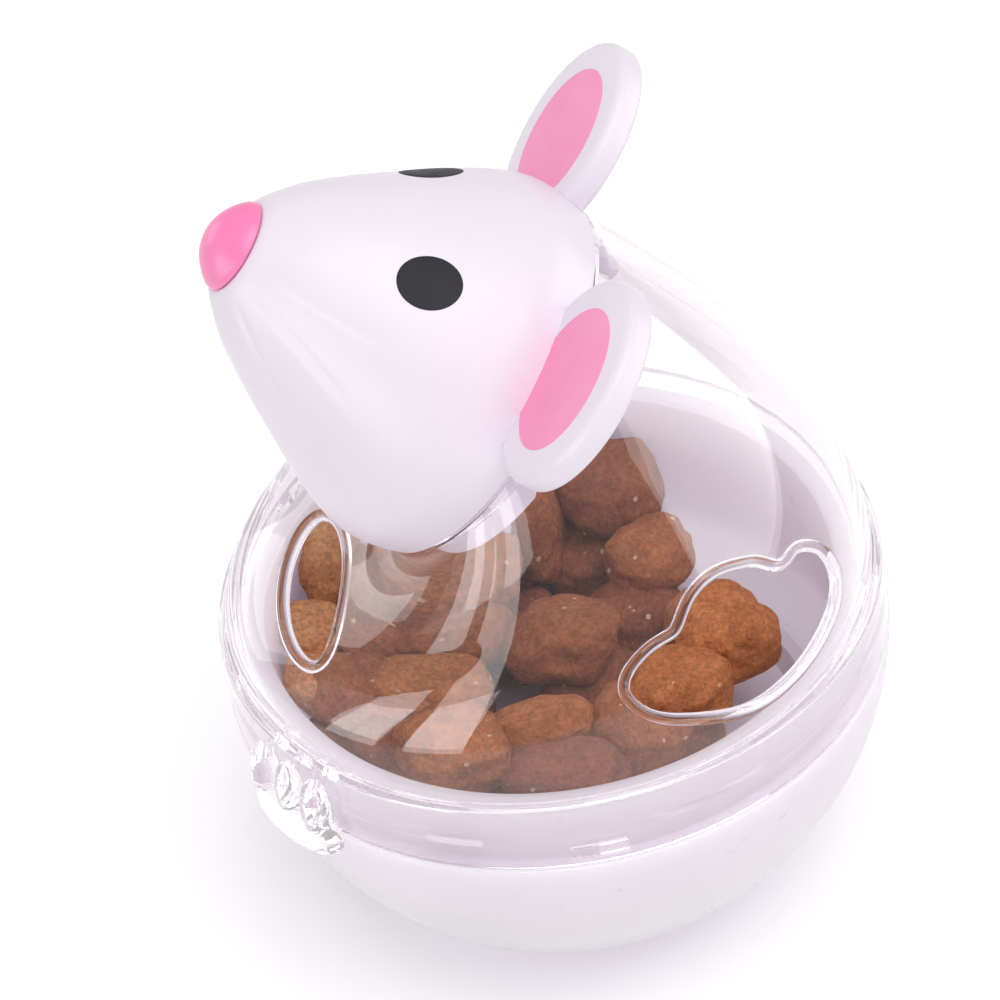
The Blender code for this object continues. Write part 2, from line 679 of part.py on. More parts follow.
def build_head_collar():
    profile = [(COLLAR_INNER_R, COLLAR_FLANGE_TOP), (COLLAR_FLANGE_R, COLLAR_FLANGE_TOP),
               (COLLAR_FLANGE_R, GAP), (COLLAR_OUTER_R, GAP),
               (COLLAR_OUTER_R, -COLLAR_DEPTH + COLLAR_BEVEL),
               (COLLAR_OUTER_R - COLLAR_BEVEL, -COLLAR_DEPTH), (COLLAR_INNER_R, -COLLAR_DEPTH),
               (COLLAR_INNER_R, COLLAR_FLANGE_TOP)]
    collar = turned_solid("head_collar", profile, COLLAR_STEPS, PARTS)
    half = COLLAR_SLOT_WIDTH / 2
    for k, angle in enumerate(COLLAR_SLOTS):
        slot = block("collar_slot_%d" % k, COLLAR_SLOT_REACH, (-half, half),
                     (-COLLAR_DEPTH - CUT_CLEAR, COLLAR_SLOT_END), CUTTERS)
        place(slot, Matrix.Rotation(math.radians(angle), 4, 'Z'))
        combine(collar, slot, 'DIFFERENCE')
    return finish(collar, "white", HEAD)


build_bowl()
build_counterweight()
build_weight_cover()
build_lid()
build_head_shell()
build_head_collar()
build_nose()
for eye_or_ear_side, suffix in ((1, "left"), (-1, "right")):
    build_eye(eye_or_ear_side, "eye_" + suffix)
    build_ear(eye_or_ear_side, "ear_" + suffix)
    build_ear_pad(eye_or_ear_side, "ear_pad_" + suffix)

for cutter in CUTTERS.objects:
    cutter.hide_render = True
    cutter.display_type = 'WIRE'
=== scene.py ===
"""Looks of the roly-poly mouse treat dispenser: surfaces, materials, treats, light and camera.

Metres, +Z up, the mouse faces -Y and its left side is +X. Sizes below are millimetres and degrees.
Heights are measured from the centre of the bowl's ball unless a comment says otherwise.
"""
import json
import math

import bmesh
import bpy
from mathutils import Matrix, Vector, noise
from mathutils.bvhtree import BVHTree


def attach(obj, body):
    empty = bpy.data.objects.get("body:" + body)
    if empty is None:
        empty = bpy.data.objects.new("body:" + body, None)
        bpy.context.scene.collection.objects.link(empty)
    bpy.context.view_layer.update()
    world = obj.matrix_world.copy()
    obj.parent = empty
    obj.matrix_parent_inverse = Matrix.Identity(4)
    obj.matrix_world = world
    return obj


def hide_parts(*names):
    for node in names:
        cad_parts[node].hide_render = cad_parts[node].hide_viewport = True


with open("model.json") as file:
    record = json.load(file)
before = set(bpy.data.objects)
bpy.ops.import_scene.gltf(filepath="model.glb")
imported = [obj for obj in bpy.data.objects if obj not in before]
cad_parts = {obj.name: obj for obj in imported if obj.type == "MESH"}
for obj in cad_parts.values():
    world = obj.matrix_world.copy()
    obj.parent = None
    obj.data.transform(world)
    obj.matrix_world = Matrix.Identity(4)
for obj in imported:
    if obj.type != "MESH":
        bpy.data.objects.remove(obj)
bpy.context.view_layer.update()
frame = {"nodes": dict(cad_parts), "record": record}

MM = 0.001

# bowl
BALL_R = 32.5
FLAT_R = 10.0
BALL_Z = math.sqrt(BALL_R ** 2 - FLAT_R ** 2)      # height of the ball's centre above the flat
BOWL_WALL = 2.2
BOWL_FLOOR = 2.2
LEDGE_Z = -2.3
RIM_TOP_Z = 4.3
RIM_OUTER_R = 30.2
RIM_INNER_R = 27.9

# twist-lock lugs
LUG_COUNT = 4
LUG_ARC = 10.0
BOWL_LUG_START = -23.0
BOWL_LUG_R = 31.1
BOWL_LUG_Z = (0.0, 1.0)
LID_LUG_START = 1.9
LID_LUG_R = 30.55
LID_LUG_Z = (-1.6, -0.6)

# lid
LID_WALL = 1.6
DOME_WALL = 1.2
SKIRT_R = 32.3
SKIRT_BOTTOM_Z = -2.0
SHOULDER_Z = 5.15
DOME_R = 31.4
DOME_Z = 6.0
BAND_TOP_Z = 1.3
STEP_Z = 4.65             # underside of the wall just over the bowl's rim
BAND_INNER_R = 31.5
NECK_Y = -2.5
NECK_Z = 30.7
NECK_R = 18.1
NECK_BORE_R = 16.0
NECK_DEPTH = 1.8
THROAT_R = 17.1           # the wall's inner face starts from a circle under the neck
THROAT_TOP = -1.4
THROAT_AHEAD = 0.2
REAR_HANDLE_LOW = 12.8
REAR_HANDLE_TOP = 12.8
REAR_TOP_ANGLE = 47.5
FRONT_HANDLE_LOW = 5.5
FRONT_HANDLE_TOP = 8.0
FRONT_TOP_ANGLE = 38.0
SIDE_HANDLE_TOP = 4.5
LID_AROUND = 256
DOME_RINGS = 64
HOLE_BEAD_R = 0.67        # rounded lip along the holes, just thicker than the wall
HOLE_BEAD_AROUND = 32
HOLE_PLUG_OUT = 7.0       # how far a hole's cutter stands out of the wall's outside, and in from it
HOLE_PLUG_IN = 6.0
HOLE_SOFTENING = 24       # rounds of averaging of the directions along a hole's edge

HEART_AZIMUTH = 43.0
HEART_ELEVATION = 22.0
HEART_OUTLINE = ((-6.9, 7.5), (-9.8, 7.3), (-12.4, 6.0), (-13.3, 4.0), (-12.2, 1.3), (-9.4, -1.0),
                 (-3.5, -3.8), (1.6, -4.3), (6.8, -3.4), (11.3, -1.5), (13.1, 1.0), (12.4, 4.2),
                 (9.4, 6.5), (6.2, 6.6), (3.6, 8.7), (-0.6, 10.2), (-4.0, 9.7))
HEART_SPAN_STEPS = 10
HEART_DROP = 50.0         # the outline is dropped onto the lid from this far out
OVAL_CENTRE = (6.8, -21.2, 13.0)
OVAL_HALF = (10.2, 3.8)
OVAL_LEAN = 30.0
OVAL_STEPS = 96
OVAL_DROP = 30.0

PAW_AZIMUTHS = (-50.0, -130.0)
TOE_PITCH = 3.8
TOE_CENTRE = (32.9, 0.8)
TOE_HALF = (1.6, 1.5, 3.7)
PAD_CENTRE = (32.5, -2.9)
PAD_HALF = (2.4, 6.2, 3.1)
PAW_INNER_R = 32.8
PAW_STEP_Z = -1.8
PAW_TOP_Z = 12.0
PAW_LOW_ANGLE = -40.0
PAW_VOXEL = 0.2
PAW_SOFTENING = 14

# head, heights along its axis from the neck plane
HEAD_PROFILE = ((0.3, 18.1), (2.6, 18.6), (5.5, 18.7), (8.5, 17.8), (12.0, 16.1), (16.0, 13.8),
                (20.0, 11.4), (24.0, 8.7), (26.2, 6.7), (27.4, 5.4), (27.8, 4.7))
HEAD_WALL = 1.6
HEAD_INSET = HEAD_WALL * 1.15
HEAD_AROUND = 360
HEAD_RINGS = 150
HEAD_INNER_RINGS = 60
NOSE_HOLE_R = 3.0
GAP = 0.3
NOSE_LENGTH = 2.85
NOSE_BASE_R = 4.5
NOSE_DOME = ((0.0, 0.0), (1.2, 0.16), (2.2, 0.55), (3.1, 1.15), (3.8, 1.8), (4.3, 2.4))   # radius, drop
NOSE_STUB_R = 2.7
NOSE_STUB_LENGTH = 3.5
COLLAR_OUTER_R = 15.7
COLLAR_INNER_R = 14.4
COLLAR_DEPTH = 4.2
COLLAR_FLANGE_TOP = 1.8
COLLAR_FLANGE_R = 16.2
COLLAR_SLOTS = (20.0, 90.0, 160.0, 270.0)
COLLAR_SLOT_WIDTH = 5.0
COLLAR_SLOT_END = -0.6
COLLAR_TAB_CORNER = 1.6
COLLAR_SLOT_CORNER = 0.8
COLLAR_AROUND = 900

EYE_ALONG = 14.6
EYE_ANGLE = 56.0
EYE_RADIUS = 14.6
EYE_SLOPE = 29.0
EYE_HALF = (3.05, 2.6)
EYE_DROP = 6.0            # the print is dropped onto the head from this far out
PRINT_HEIGHT = 0.05

SAME_PLACE = 0.0005       # rings of the head that coincide are joined
HEAD_SLACK = 0.06         # keeps the smooth head inside the box of the flat-sided CAD head
EAR_ANGLE = 42.4
EAR_CENTRE_R = 24.1
EAR_R = 10.1
EAR_FRONT = 2.9
EAR_ROUND = 0.9
EAR_BACK_ROUND = 0.6
PAD_R = 7.0

# whisker folds pressed into the cheeks: angle round the head's axis at their front and rear ends
WHISKERS = ((26.5, 27.5), (9.0, 2.0), (-15.0, -31.0))
WHISKER_FRONT = 26.0
WHISKER_REAR = 16.6
WHISKER_FOLD = (0.12, 0.5)          # depth and half width
WHISKER_RIDGE = (0.07, 0.75)        # height and half width of the soft ridge beside each fold
WHISKER_RIDGE_AWAY = 0.9

BALL = Matrix.Translation((0.0, 0.0, BALL_Z))


def outward(azimuth, elevation):
    """A direction from the toy in radians; azimuth 0 is in front of the mouse, a quarter turn its left."""
    return Vector((math.sin(azimuth) * math.cos(elevation), -math.cos(azimuth) * math.cos(elevation),
                   math.sin(elevation)))


def joint_axis(name):
    """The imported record's direction of a joint."""
    for joint in frame["record"]["behaviour"]["joints"]:
        if joint["name"] == name:
            return Vector(joint["axis"])


HEAD_AXIS = joint_axis("head_pull").normalized()
HEAD_SIDE = Vector((1.0, 0.0, 0.0))
HEAD_UP = HEAD_AXIS.cross(HEAD_SIDE)
NECK = Matrix((HEAD_SIDE, HEAD_UP, HEAD_AXIS)).transposed().to_4x4()
NECK.translation = Vector((0.0, NECK_Y, NECK_Z))
HEAD = BALL @ NECK
NECK_TILT = math.atan2(HEAD_AXIS.z, -HEAD_AXIS.y)      # radians


# ---------------------------------------------------------------- camera

CAMERA_AZIMUTH = 96.5
CAMERA_ELEVATION = 41.0
CAMERA_ROLL = -10.15
CAMERA_DISTANCE = 500.0
CAMERA_SHIFT = (-5.32, 11.31)      # the camera's place right of and above the ball's centre, in its own view
CAMERA_LENS = 185.2
CAMERA_SENSOR = 36.0


def make_camera():
    roll = math.radians(CAMERA_ROLL)
    back = outward(math.radians(CAMERA_AZIMUTH), math.radians(CAMERA_ELEVATION))
    level = (-back).cross(Vector((0.0, 0.0, 1.0))).normalized()
    upright = level.cross(-back)
    right = level * math.cos(roll) + upright * math.sin(roll)
    up = upright * math.cos(roll) - level * math.sin(roll)
    place = Vector((0.0, 0.0, BALL_Z)) + back * CAMERA_DISTANCE
    place += right * CAMERA_SHIFT[0] + up * CAMERA_SHIFT[1]
    data = bpy.data.cameras.new("camera")
    data.lens = CAMERA_LENS
    data.sensor_width = CAMERA_SENSOR
    data.clip_start = 0.01
    camera = bpy.data.objects.new("camera", data)
    bpy.context.scene.collection.objects.link(camera)
    matrix = Matrix((right, up, back)).transposed().to_4x4()
    matrix.translation = place * MM
    camera.matrix_world = matrix
    bpy.context.scene.camera = camera


make_camera()


# ---------------------------------------------------------------- mesh tools

def piece_from(name, bm, smooth=35.0):
    """Store a bmesh in millimetres as an object at the origin, smooth but for its sharp edges."""
    bmesh.ops.recalc_face_normals(bm, faces=bm.faces)
    bmesh.ops.scale(bm, vec=Vector((MM, MM, MM)), verts=bm.verts)
    mesh = bpy.data.meshes.new(name)
    bm.to_mesh(mesh)
    bm.free()
    obj = bpy.data.objects.new(name, mesh)
    bpy.context.scene.collection.objects.link(obj)
    shade(obj, smooth)
    return obj


def shade(obj, smooth=35.0):
    obj.data.shade_smooth()
    obj.data.set_sharp_from_angle(angle=math.radians(smooth))


def apply_modifiers(obj):
    bpy.context.view_layer.update()
    graph = bpy.context.evaluated_depsgraph_get()
    mesh = bpy.data.meshes.new_from_object(obj.evaluated_get(graph))
    obj.modifiers.clear()
    obj.data = mesh


def combine(target, tool, operation):
    """Cut, join or intersect exactly, then drop the tool."""
    mod = target.modifiers.new("bool", 'BOOLEAN')
    mod.operation = operation
    mod.solver = 'EXACT'
    mod.object = tool
    apply_modifiers(target)
    bpy.data.objects.remove(tool, do_unlink=True)


def triangulate(obj):
    """Split the bent many-sided faces that a cut leaves, which the next cut or join can't read."""
    bm = bmesh.new()
    bm.from_mesh(obj.data)
    bmesh.ops.triangulate(bm, faces=bm.faces)
    bm.to_mesh(obj.data)
    bm.free()


def move(obj, matrix):
    """Move the mesh itself; the matrix's translation is millimetres."""
    scaled = matrix.copy()
    scaled.translation = matrix.translation * MM
    obj.data.transform(scaled)
    return obj


def rounded(corners, closed=False, steps=5):
    """An outline of (x, y, radius) corners with each corner turned into an arc."""
    out = []
    count = len(corners)
    for i, (x, y, radius) in enumerate(corners):
        here = Vector((x, y))
        if radius <= 0.0 or (not closed and i in (0, count - 1)):
            out.append(here)
            continue
        before = Vector(corners[i - 1][:2]) - here
        after = Vector(corners[(i + 1) % count][:2]) - here
        half = before.angle(after) / 2.0
        reach = min(radius / math.tan(half), 0.49 * before.length, 0.49 * after.length)
        start = here + before.normalized() * reach
        end = here + after.normalized() * reach
        weight = math.sin(half)
        for k in range(steps + 1):
            t = k / steps
            a = (1.0 - t) ** 2
            b = 2.0 * t * (1.0 - t) * weight
            c = t ** 2
            out.append((start * a + here * b + end * c) / (a + b + c))
    return [(p.x, p.y) for p in out]


def arc(radius, start, end, count):
    """Points (radius, height) on an arc about the origin, angles in degrees above the horizontal."""
    angles = [math.radians(start + (end - start) * i / count) for i in range(count + 1)]
    return [(radius * math.cos(a), radius * math.sin(a)) for a in angles]


def lathe(profile, steps):
    """A bmesh turned about Z from an outline of (radius, height); ends on the axis are closed."""
    bm = bmesh.new()
    closed = profile[0][0] > 0.0 and profile[-1][0] > 0.0
    rings = []
    for r, z in profile:
        if r <= 0.0:
            rings.append([bm.verts.new((0.0, 0.0, z))])
            continue
        ring = []
        for i in range(steps):
            a = 2.0 * math.pi * i / steps
            ring.append(bm.verts.new((r * math.cos(a), r * math.sin(a), z)))
        rings.append(ring)
    join_rings(bm, rings, closed)
    return bm


def join_rings(bm, rings, closed):
    """Faces between successive rings of points; a ring of one point is a pole."""
    pairs = list(zip(rings, rings[1:]))
    if closed:
        pairs.append((rings[-1], rings[0]))
    for low, high in pairs:
        count = max(len(low), len(high))
        for i in range(count):
            j = (i + 1) % count
            face = [low[i % len(low)], low[j % len(low)], high[j % len(high)], high[i % len(high)]]
            kept = []
            for vert in face:
                if vert not in kept:
                    kept.append(vert)
            bm.faces.new(kept)


def grid_solid(rings, closed=True):
    """A bmesh from rings of Vectors, joined round and, if closed, from the last ring to the first."""
    bm = bmesh.new()
    made = [[bm.verts.new(p) for p in ring] for ring in rings]
    join_rings(bm, made, closed)
    return bm


def prism(outline, low, high):
    bm = bmesh.new()
    bottom = bm.faces.new([bm.verts.new((x, y, low)) for x, y in outline])
    top = bmesh.ops.extrude_face_region(bm, geom=[bottom])
    moved = [v for v in top["geom"] if isinstance(v, bmesh.types.BMVert)]
    bmesh.ops.translate(bm, vec=Vector((0.0, 0.0, high - low)), verts=moved)
    return bm


def ellipse(a, b, count):
    return [(a * math.cos(2 * math.pi * i / count), b * math.sin(2 * math.pi * i / count))
            for i in range(count)]


def sector(r_in, r_out, start, arc_degrees, low, high):
    count = 8
    angles = [math.radians(start + arc_degrees * i / count) for i in range(count + 1)]
    outline = [(r_out * math.cos(a), r_out * math.sin(a)) for a in angles]
    outline += [(r_in * math.cos(a), r_in * math.sin(a)) for a in reversed(angles)]
    return prism(outline, low, high)


def bezier(p0, p1, p2, p3, t):
    s = 1.0 - t
    return tuple(s ** 3 * a + 3 * s * s * t * b + 3 * s * t * t * c + t ** 3 * d
                 for a, b, c, d in zip(p0, p1, p2, p3))


def smooth_outline(points, per_span):
    """A closed Catmull-Rom curve through the points, with a corner at the first one."""
    n = len(points)
    out = []
    for i in range(n):
        p1 = Vector(points[i])
        p2 = Vector(points[(i + 1) % n])
        m1 = (p2 - Vector(points[i - 1])) * 0.5 if i else (p2 - p1)
        last = (i + 1) % n == 0
        m2 = (p2 - p1) if last else (Vector(points[(i + 2) % n]) - p1) * 0.5
        for k in range(per_span):
            t = k / per_span
            a = 2 * t ** 3 - 3 * t ** 2 + 1
            b = t ** 3 - 2 * t ** 2 + t
            c = -2 * t ** 3 + 3 * t ** 2
            d = t ** 3 - t ** 2
            out.append(tuple(a * p1 + b * m1 + c * p2 + d * m2))
    return out


def facing(azimuth, elevation):
    """Axes whose Z looks out at the azimuth and elevation, X level and Y up."""
    a = math.radians(azimuth)
    e = math.radians(elevation)
    z_axis = Vector((math.cos(a) * math.cos(e), math.sin(a) * math.cos(e), math.sin(e)))
    x_axis = Vector((-math.sin(a), math.cos(a), 0.0))
    y_axis = z_axis.cross(x_axis)
    return Matrix((x_axis, y_axis, z_axis)).transposed().to_4x4()


def settle(obj, material, body, replaced=()):
    """Give a finished piece its material in one slot and its body, and hide the CAD nodes it stands for."""
    obj.data.materials.clear()
    obj.data.materials.append(material)
    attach(obj, body)
    if replaced:
        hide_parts(*replaced)


# ---------------------------------------------------------------- materials

SOAK_DEPTH = 0.010        # metres
WHITE_LOW = (0.80, 0.735, 0.815, 1.0)
WHITE_HIGH = (0.83, 0.765, 0.845, 1.0)
# the bowl's white is the shell's white plastic made a little darker: painted shade for the low, down-facing
# ball
BOWL_SHADED_LOW = (0.755, 0.690, 0.775, 1.0)
BOWL_SHADED_HIGH = (0.785, 0.720, 0.805, 1.0)
CAUGHT_BOUNCES = 7.0      # a ray in the clear wall glows faintly past this many
CAUGHT_GLOW = 0.035
# browns of the treats: name, pits, crust, raised crust, noise seed
BROWNS = (
    ("kibble_a", (0.34, 0.105, 0.038, 1.0), (0.53, 0.168, 0.060, 1.0), (0.66, 0.24, 0.095, 1.0), 1.0),
    ("kibble_b", (0.25, 0.075, 0.032, 1.0), (0.41, 0.128, 0.055, 1.0), (0.52, 0.185, 0.08, 1.0), 3.0),
    ("kibble_c", (0.40, 0.130, 0.040, 1.0), (0.64, 0.215, 0.066, 1.0), (0.79, 0.31, 0.115, 1.0), 5.0),
    # the fourth brown is a lighter copy of the others: painted light for the treats in the front hole, which
    # the head shades
    ("kibble_d", (0.66, 0.260, 0.110, 1.0), (0.88, 0.400, 0.180, 1.0), (0.95, 0.52, 0.26, 1.0), 7.0),
)


def new_material(name):
    mat = bpy.data.materials.new(name)
    mat.use_nodes = True
    return mat, mat.node_tree.nodes["Principled BSDF"]


def node(mat, kind, values=None, **settings):
    """Add a shader node; values are sockets by name, settings are the node's own properties."""
    made = mat.node_tree.nodes.new(kind)
    for key, value in settings.items():
        setattr(made, key, value)
    for key, value in (values or {}).items():
        made.inputs[key].default_value = value
    return made


def link(mat, source, target):
    mat.node_tree.links.new(source, target)


def noise_field(mat, scale, detail, roughness, seed):
    """A noise texture in the piece's own metres; seed slides it sideways."""
    coords = node(mat, "ShaderNodeTexCoord")
    shift = node(mat, "ShaderNodeMapping")
    shift.inputs["Location"].default_value = (seed, seed * 0.7, seed * 1.3)
    field = node(mat, "ShaderNodeTexNoise", {"Scale": scale, "Detail": detail, "Roughness": roughness})
    link(mat, coords.outputs["Object"], shift.inputs["Vector"])
    link(mat, shift.outputs["Vector"], field.inputs["Vector"])
    return field.outputs["Fac"]


def ramp(mat, source, stops):
    """Colour ramp over a field; stops are (position, colour or grey)."""
    made = node(mat, "ShaderNodeValToRGB")
    points = made.color_ramp.elements
    while len(points) < len(stops):
        points.new(0.5)
    for point, (position, colour) in zip(points, stops):
        point.position = position
        point.color = colour if isinstance(colour, tuple) else (colour, colour, colour, 1.0)
    link(mat, source, made.inputs["Fac"])
    return made.outputs["Color"]


def bump(mat, source, strength, distance, normal=None):
    made = node(mat, "ShaderNodeBump", {"Strength": strength, "Distance": distance})
    link(mat, source, made.inputs["Height"])
    if normal is not None:
        link(mat, normal, made.inputs["Normal"])
    return made.outputs["Normal"]


def plastic(name, low, high, rough, seed=0.0, gloss=0.5, milky=0.0):
    """Moulded plastic: faint cloudy colour, uneven gloss, fine orange peel; milky lets light soak in."""
    mat, shader = new_material(name)
    cloud = noise_field(mat, 70.0, 3.0, 0.5, seed)
    link(mat, ramp(mat, cloud, ((0.3, low), (0.7, high))), shader.inputs["Base Color"])
    wear = noise_field(mat, 420.0, 5.0, 0.6, seed + 0.3)
    link(mat, ramp(mat, wear, ((0.25, rough[0]), (0.75, rough[1]))), shader.inputs["Roughness"])
    peel = noise_field(mat, 700.0, 2.0, 0.4, seed + 0.6)
    link(mat, bump(mat, peel, 0.02, 0.00008), shader.inputs["Normal"])
    shader.inputs["IOR"].default_value = 1.5
    shader.inputs["Specular IOR Level"].default_value = gloss
    if milky:
        shader.inputs["Subsurface Weight"].default_value = milky
        shader.inputs["Subsurface Radius"].default_value = (1.0, 0.92, 1.0)
        shader.inputs["Subsurface Scale"].default_value = SOAK_DEPTH
    return mat


def clear_plastic(name):
    """Clear moulded plastic. Lamps shine through it, so what is inside is lit as in the open."""
    mat, shader = new_material(name)
    shader.inputs["Transmission Weight"].default_value = 1.0
    shader.inputs["IOR"].default_value = 1.49
    cloud = noise_field(mat, 90.0, 3.0, 0.5, 0.2)
    tint = ramp(mat, cloud, ((0.3, (0.948, 0.918, 0.942, 1.0)), (0.7, (0.960, 0.932, 0.954, 1.0))))
    link(mat, tint, shader.inputs["Base Color"])
    haze = noise_field(mat, 300.0, 4.0, 0.6, 0.5)
    link(mat, ramp(mat, haze, ((0.3, 0.0), (0.75, 0.008))), shader.inputs["Roughness"])
    ripple = noise_field(mat, 120.0, 2.0, 0.4, 0.8)
    link(mat, bump(mat, ripple, 0.05, 0.0003), shader.inputs["Normal"])
    through = node(mat, "ShaderNodeBsdfTransparent", {"Color": (0.985, 0.975, 0.99, 1.0)})
    path = node(mat, "ShaderNodeLightPath")
    # the bounce limit would end light caught in the wall as black, so it gets a faint pale glow
    caught = node(mat, "ShaderNodeMath", {1: CAUGHT_BOUNCES}, operation='GREATER_THAN')
    link(mat, path.outputs["Ray Depth"], caught.inputs[0])
    glow = node(mat, "ShaderNodeMath", {1: CAUGHT_GLOW}, operation='MULTIPLY')
    link(mat, caught.outputs["Value"], glow.inputs[0])
    link(mat, glow.outputs["Value"], shader.inputs["Emission Strength"])
    shader.inputs["Emission Color"].default_value = (0.95, 0.91, 0.96, 1.0)
    either = node(mat, "ShaderNodeMath", operation='MAXIMUM')
    link(mat, path.outputs["Is Shadow Ray"], either.inputs[0])
    link(mat, path.outputs["Is Diffuse Ray"], either.inputs[1])
    mix = node(mat, "ShaderNodeMixShader")
    link(mat, either.outputs["Value"], mix.inputs["Fac"])
    link(mat, shader.outputs["BSDF"], mix.inputs[1])
    link(mat, through.outputs["BSDF"], mix.inputs[2])
    output = mat.node_tree.nodes["Material Output"]
    link(mat, mix.outputs["Shader"], output.inputs["Surface"])
    return mat


def kibble_material(name, dark, middle, light, seed):
    """Baked dry food: gritty brown crust, darker pits, pale crumbs."""
    mat, shader = new_material(name)
    cloud = noise_field(mat, 300.0, 8.0, 0.8, seed)
    crust = ramp(mat, cloud, ((0.32, dark), (0.5, middle), (0.68, light)))
    grit = noise_field(mat, 1900.0, 3.0, 0.7, seed + 0.4)
    grain = ramp(mat, grit, ((0.38, 0.50), (0.60, 1.0)))
    shaded = node(mat, "ShaderNodeMix", {"Factor": 0.7}, data_type='RGBA', blend_type='MULTIPLY')
    link(mat, crust, shaded.inputs["A"])
    link(mat, grain, shaded.inputs["B"])
    crumbs = node(mat, "ShaderNodeTexVoronoi", {"Scale": 620.0})
    coords = node(mat, "ShaderNodeTexCoord")
    link(mat, coords.outputs["Object"], crumbs.inputs["Vector"])
    speck = ramp(mat, crumbs.outputs["Distance"], ((0.13, 1.0), (0.20, 0.0)))
    patchy = ramp(mat, noise_field(mat, 330.0, 2.0, 0.5, seed + 0.9), ((0.55, 0.0), (0.60, 1.0)))
    both = node(mat, "ShaderNodeMath", operation='MULTIPLY')
    link(mat, speck, both.inputs[0])
    link(mat, patchy, both.inputs[1])
    spotted = node(mat, "ShaderNodeMix", {"B": (0.82, 0.60, 0.36, 1.0)}, data_type='RGBA')
    link(mat, both.outputs["Value"], spotted.inputs["Factor"])
    link(mat, shaded.outputs["Result"], spotted.inputs["A"])
    link(mat, spotted.outputs["Result"], shader.inputs["Base Color"])
    shader.inputs["Roughness"].default_value = 0.8
    coarse = bump(mat, noise_field(mat, 1100.0, 5.0, 0.75, seed + 0.2), 0.9, 0.00045)
    link(mat, bump(mat, grit, 1.0, 0.00025, coarse), shader.inputs["Normal"])
    return mat


def steel(name):
    mat, shader = new_material(name)
    cloud = noise_field(mat, 160.0, 5.0, 0.6, 0.1)
    link(mat, ramp(mat, cloud, ((0.3, (0.42, 0.42, 0.43, 1.0)), (0.7, (0.58, 0.58, 0.6, 1.0)))),
         shader.inputs["Base Color"])
    shader.inputs["Metallic"].default_value = 1.0
    link(mat, ramp(mat, noise_field(mat, 900.0, 6.0, 0.7, 0.4), ((0.3, 0.28), (0.7, 0.5))),
         shader.inputs["Roughness"])
    link(mat, bump(mat, noise_field(mat, 1400.0, 4.0, 0.6, 0.7), 0.25, 0.0001), shader.inputs["Normal"])
    return mat


WHITE_SHELL = plastic("white_shell", WHITE_LOW, WHITE_HIGH, (0.30, 0.40), 0.0, 0.35)
WHITE_BOWL_SHADED = plastic("white_bowl_shaded", BOWL_SHADED_LOW, BOWL_SHADED_HIGH, (0.26, 0.36), 2.0, milky=1.0)
WHITE_COVER = plastic("white_cover", WHITE_LOW, WHITE_HIGH, (0.34, 0.46), 4.0)
CLEAR = clear_plastic("clear_lid")
PINK_NOSE = plastic("pink_nose", (0.94, 0.22, 0.46, 1.0), (0.97, 0.29, 0.54, 1.0), (0.26, 0.38), 6.0)
PINK_PRINT = plastic("pink_print", (0.93, 0.28, 0.50, 1.0), (0.96, 0.33, 0.55, 1.0), (0.45, 0.6), 8.0)
BLACK_PRINT = plastic("black_print", (0.020, 0.019, 0.025, 1.0), (0.030, 0.028, 0.036, 1.0),
                      (0.42, 0.55), 9.0, 0.15)
STEEL = steel("weight_steel")
KIBBLES = [kibble_material(*brown) for brown in BROWNS]


# ---------------------------------------------------------------- bowl

def make_bowl():
    inner_r = BALL_R - BOWL_WALL
    floor_z = BOWL_FLOOR - BALL_Z
    floor_angle = math.degrees(math.asin(floor_z / inner_r))
    top_angle = math.degrees(math.acos(RIM_INNER_R / inner_r))
    ledge_angle = math.degrees(math.asin(LEDGE_Z / BALL_R))
    flat_angle = math.degrees(math.asin(-BALL_Z / BALL_R))
    inside = arc(inner_r, floor_angle, -top_angle, 40)
    outside = arc(BALL_R, ledge_angle, flat_angle, 48)
    profile = [(0.0, floor_z, 0.0)]
    profile += [(r, z, 0.0) for r, z in inside]
    profile += [(RIM_INNER_R, RIM_TOP_Z, 0.55), (RIM_OUTER_R, RIM_TOP_Z, 0.55),
                (RIM_OUTER_R, LEDGE_Z, 0.35), (outside[0][0], outside[0][1], 0.25)]
    profile += [(r, z, 0.0) for r, z in outside[1:-1]]
    profile += [(outside[-1][0], outside[-1][1], 0.8), (0.0, -BALL_Z, 0.0)]
    bowl = piece_from("bowl_shell", lathe(rounded(profile), 256))
    for i in range(LUG_COUNT):
        start = BOWL_LUG_START + 360.0 * i / LUG_COUNT
        bm = sector(RIM_OUTER_R - 0.8, BOWL_LUG_R, start, LUG_ARC, BOWL_LUG_Z[0], BOWL_LUG_Z[1])
        bmesh.ops.bevel(bm, geom=bm.edges[:], offset=0.12, segments=2, affect='EDGES')
        combine(bowl, piece_from("lug", bm), 'UNION')
    shade(bowl, 30.0)
    move(bowl, BALL)
    settle(bowl, WHITE_BOWL_SHADED, "bowl_body", ["bowl"])


# ---------------------------------------------------------------- clear lid

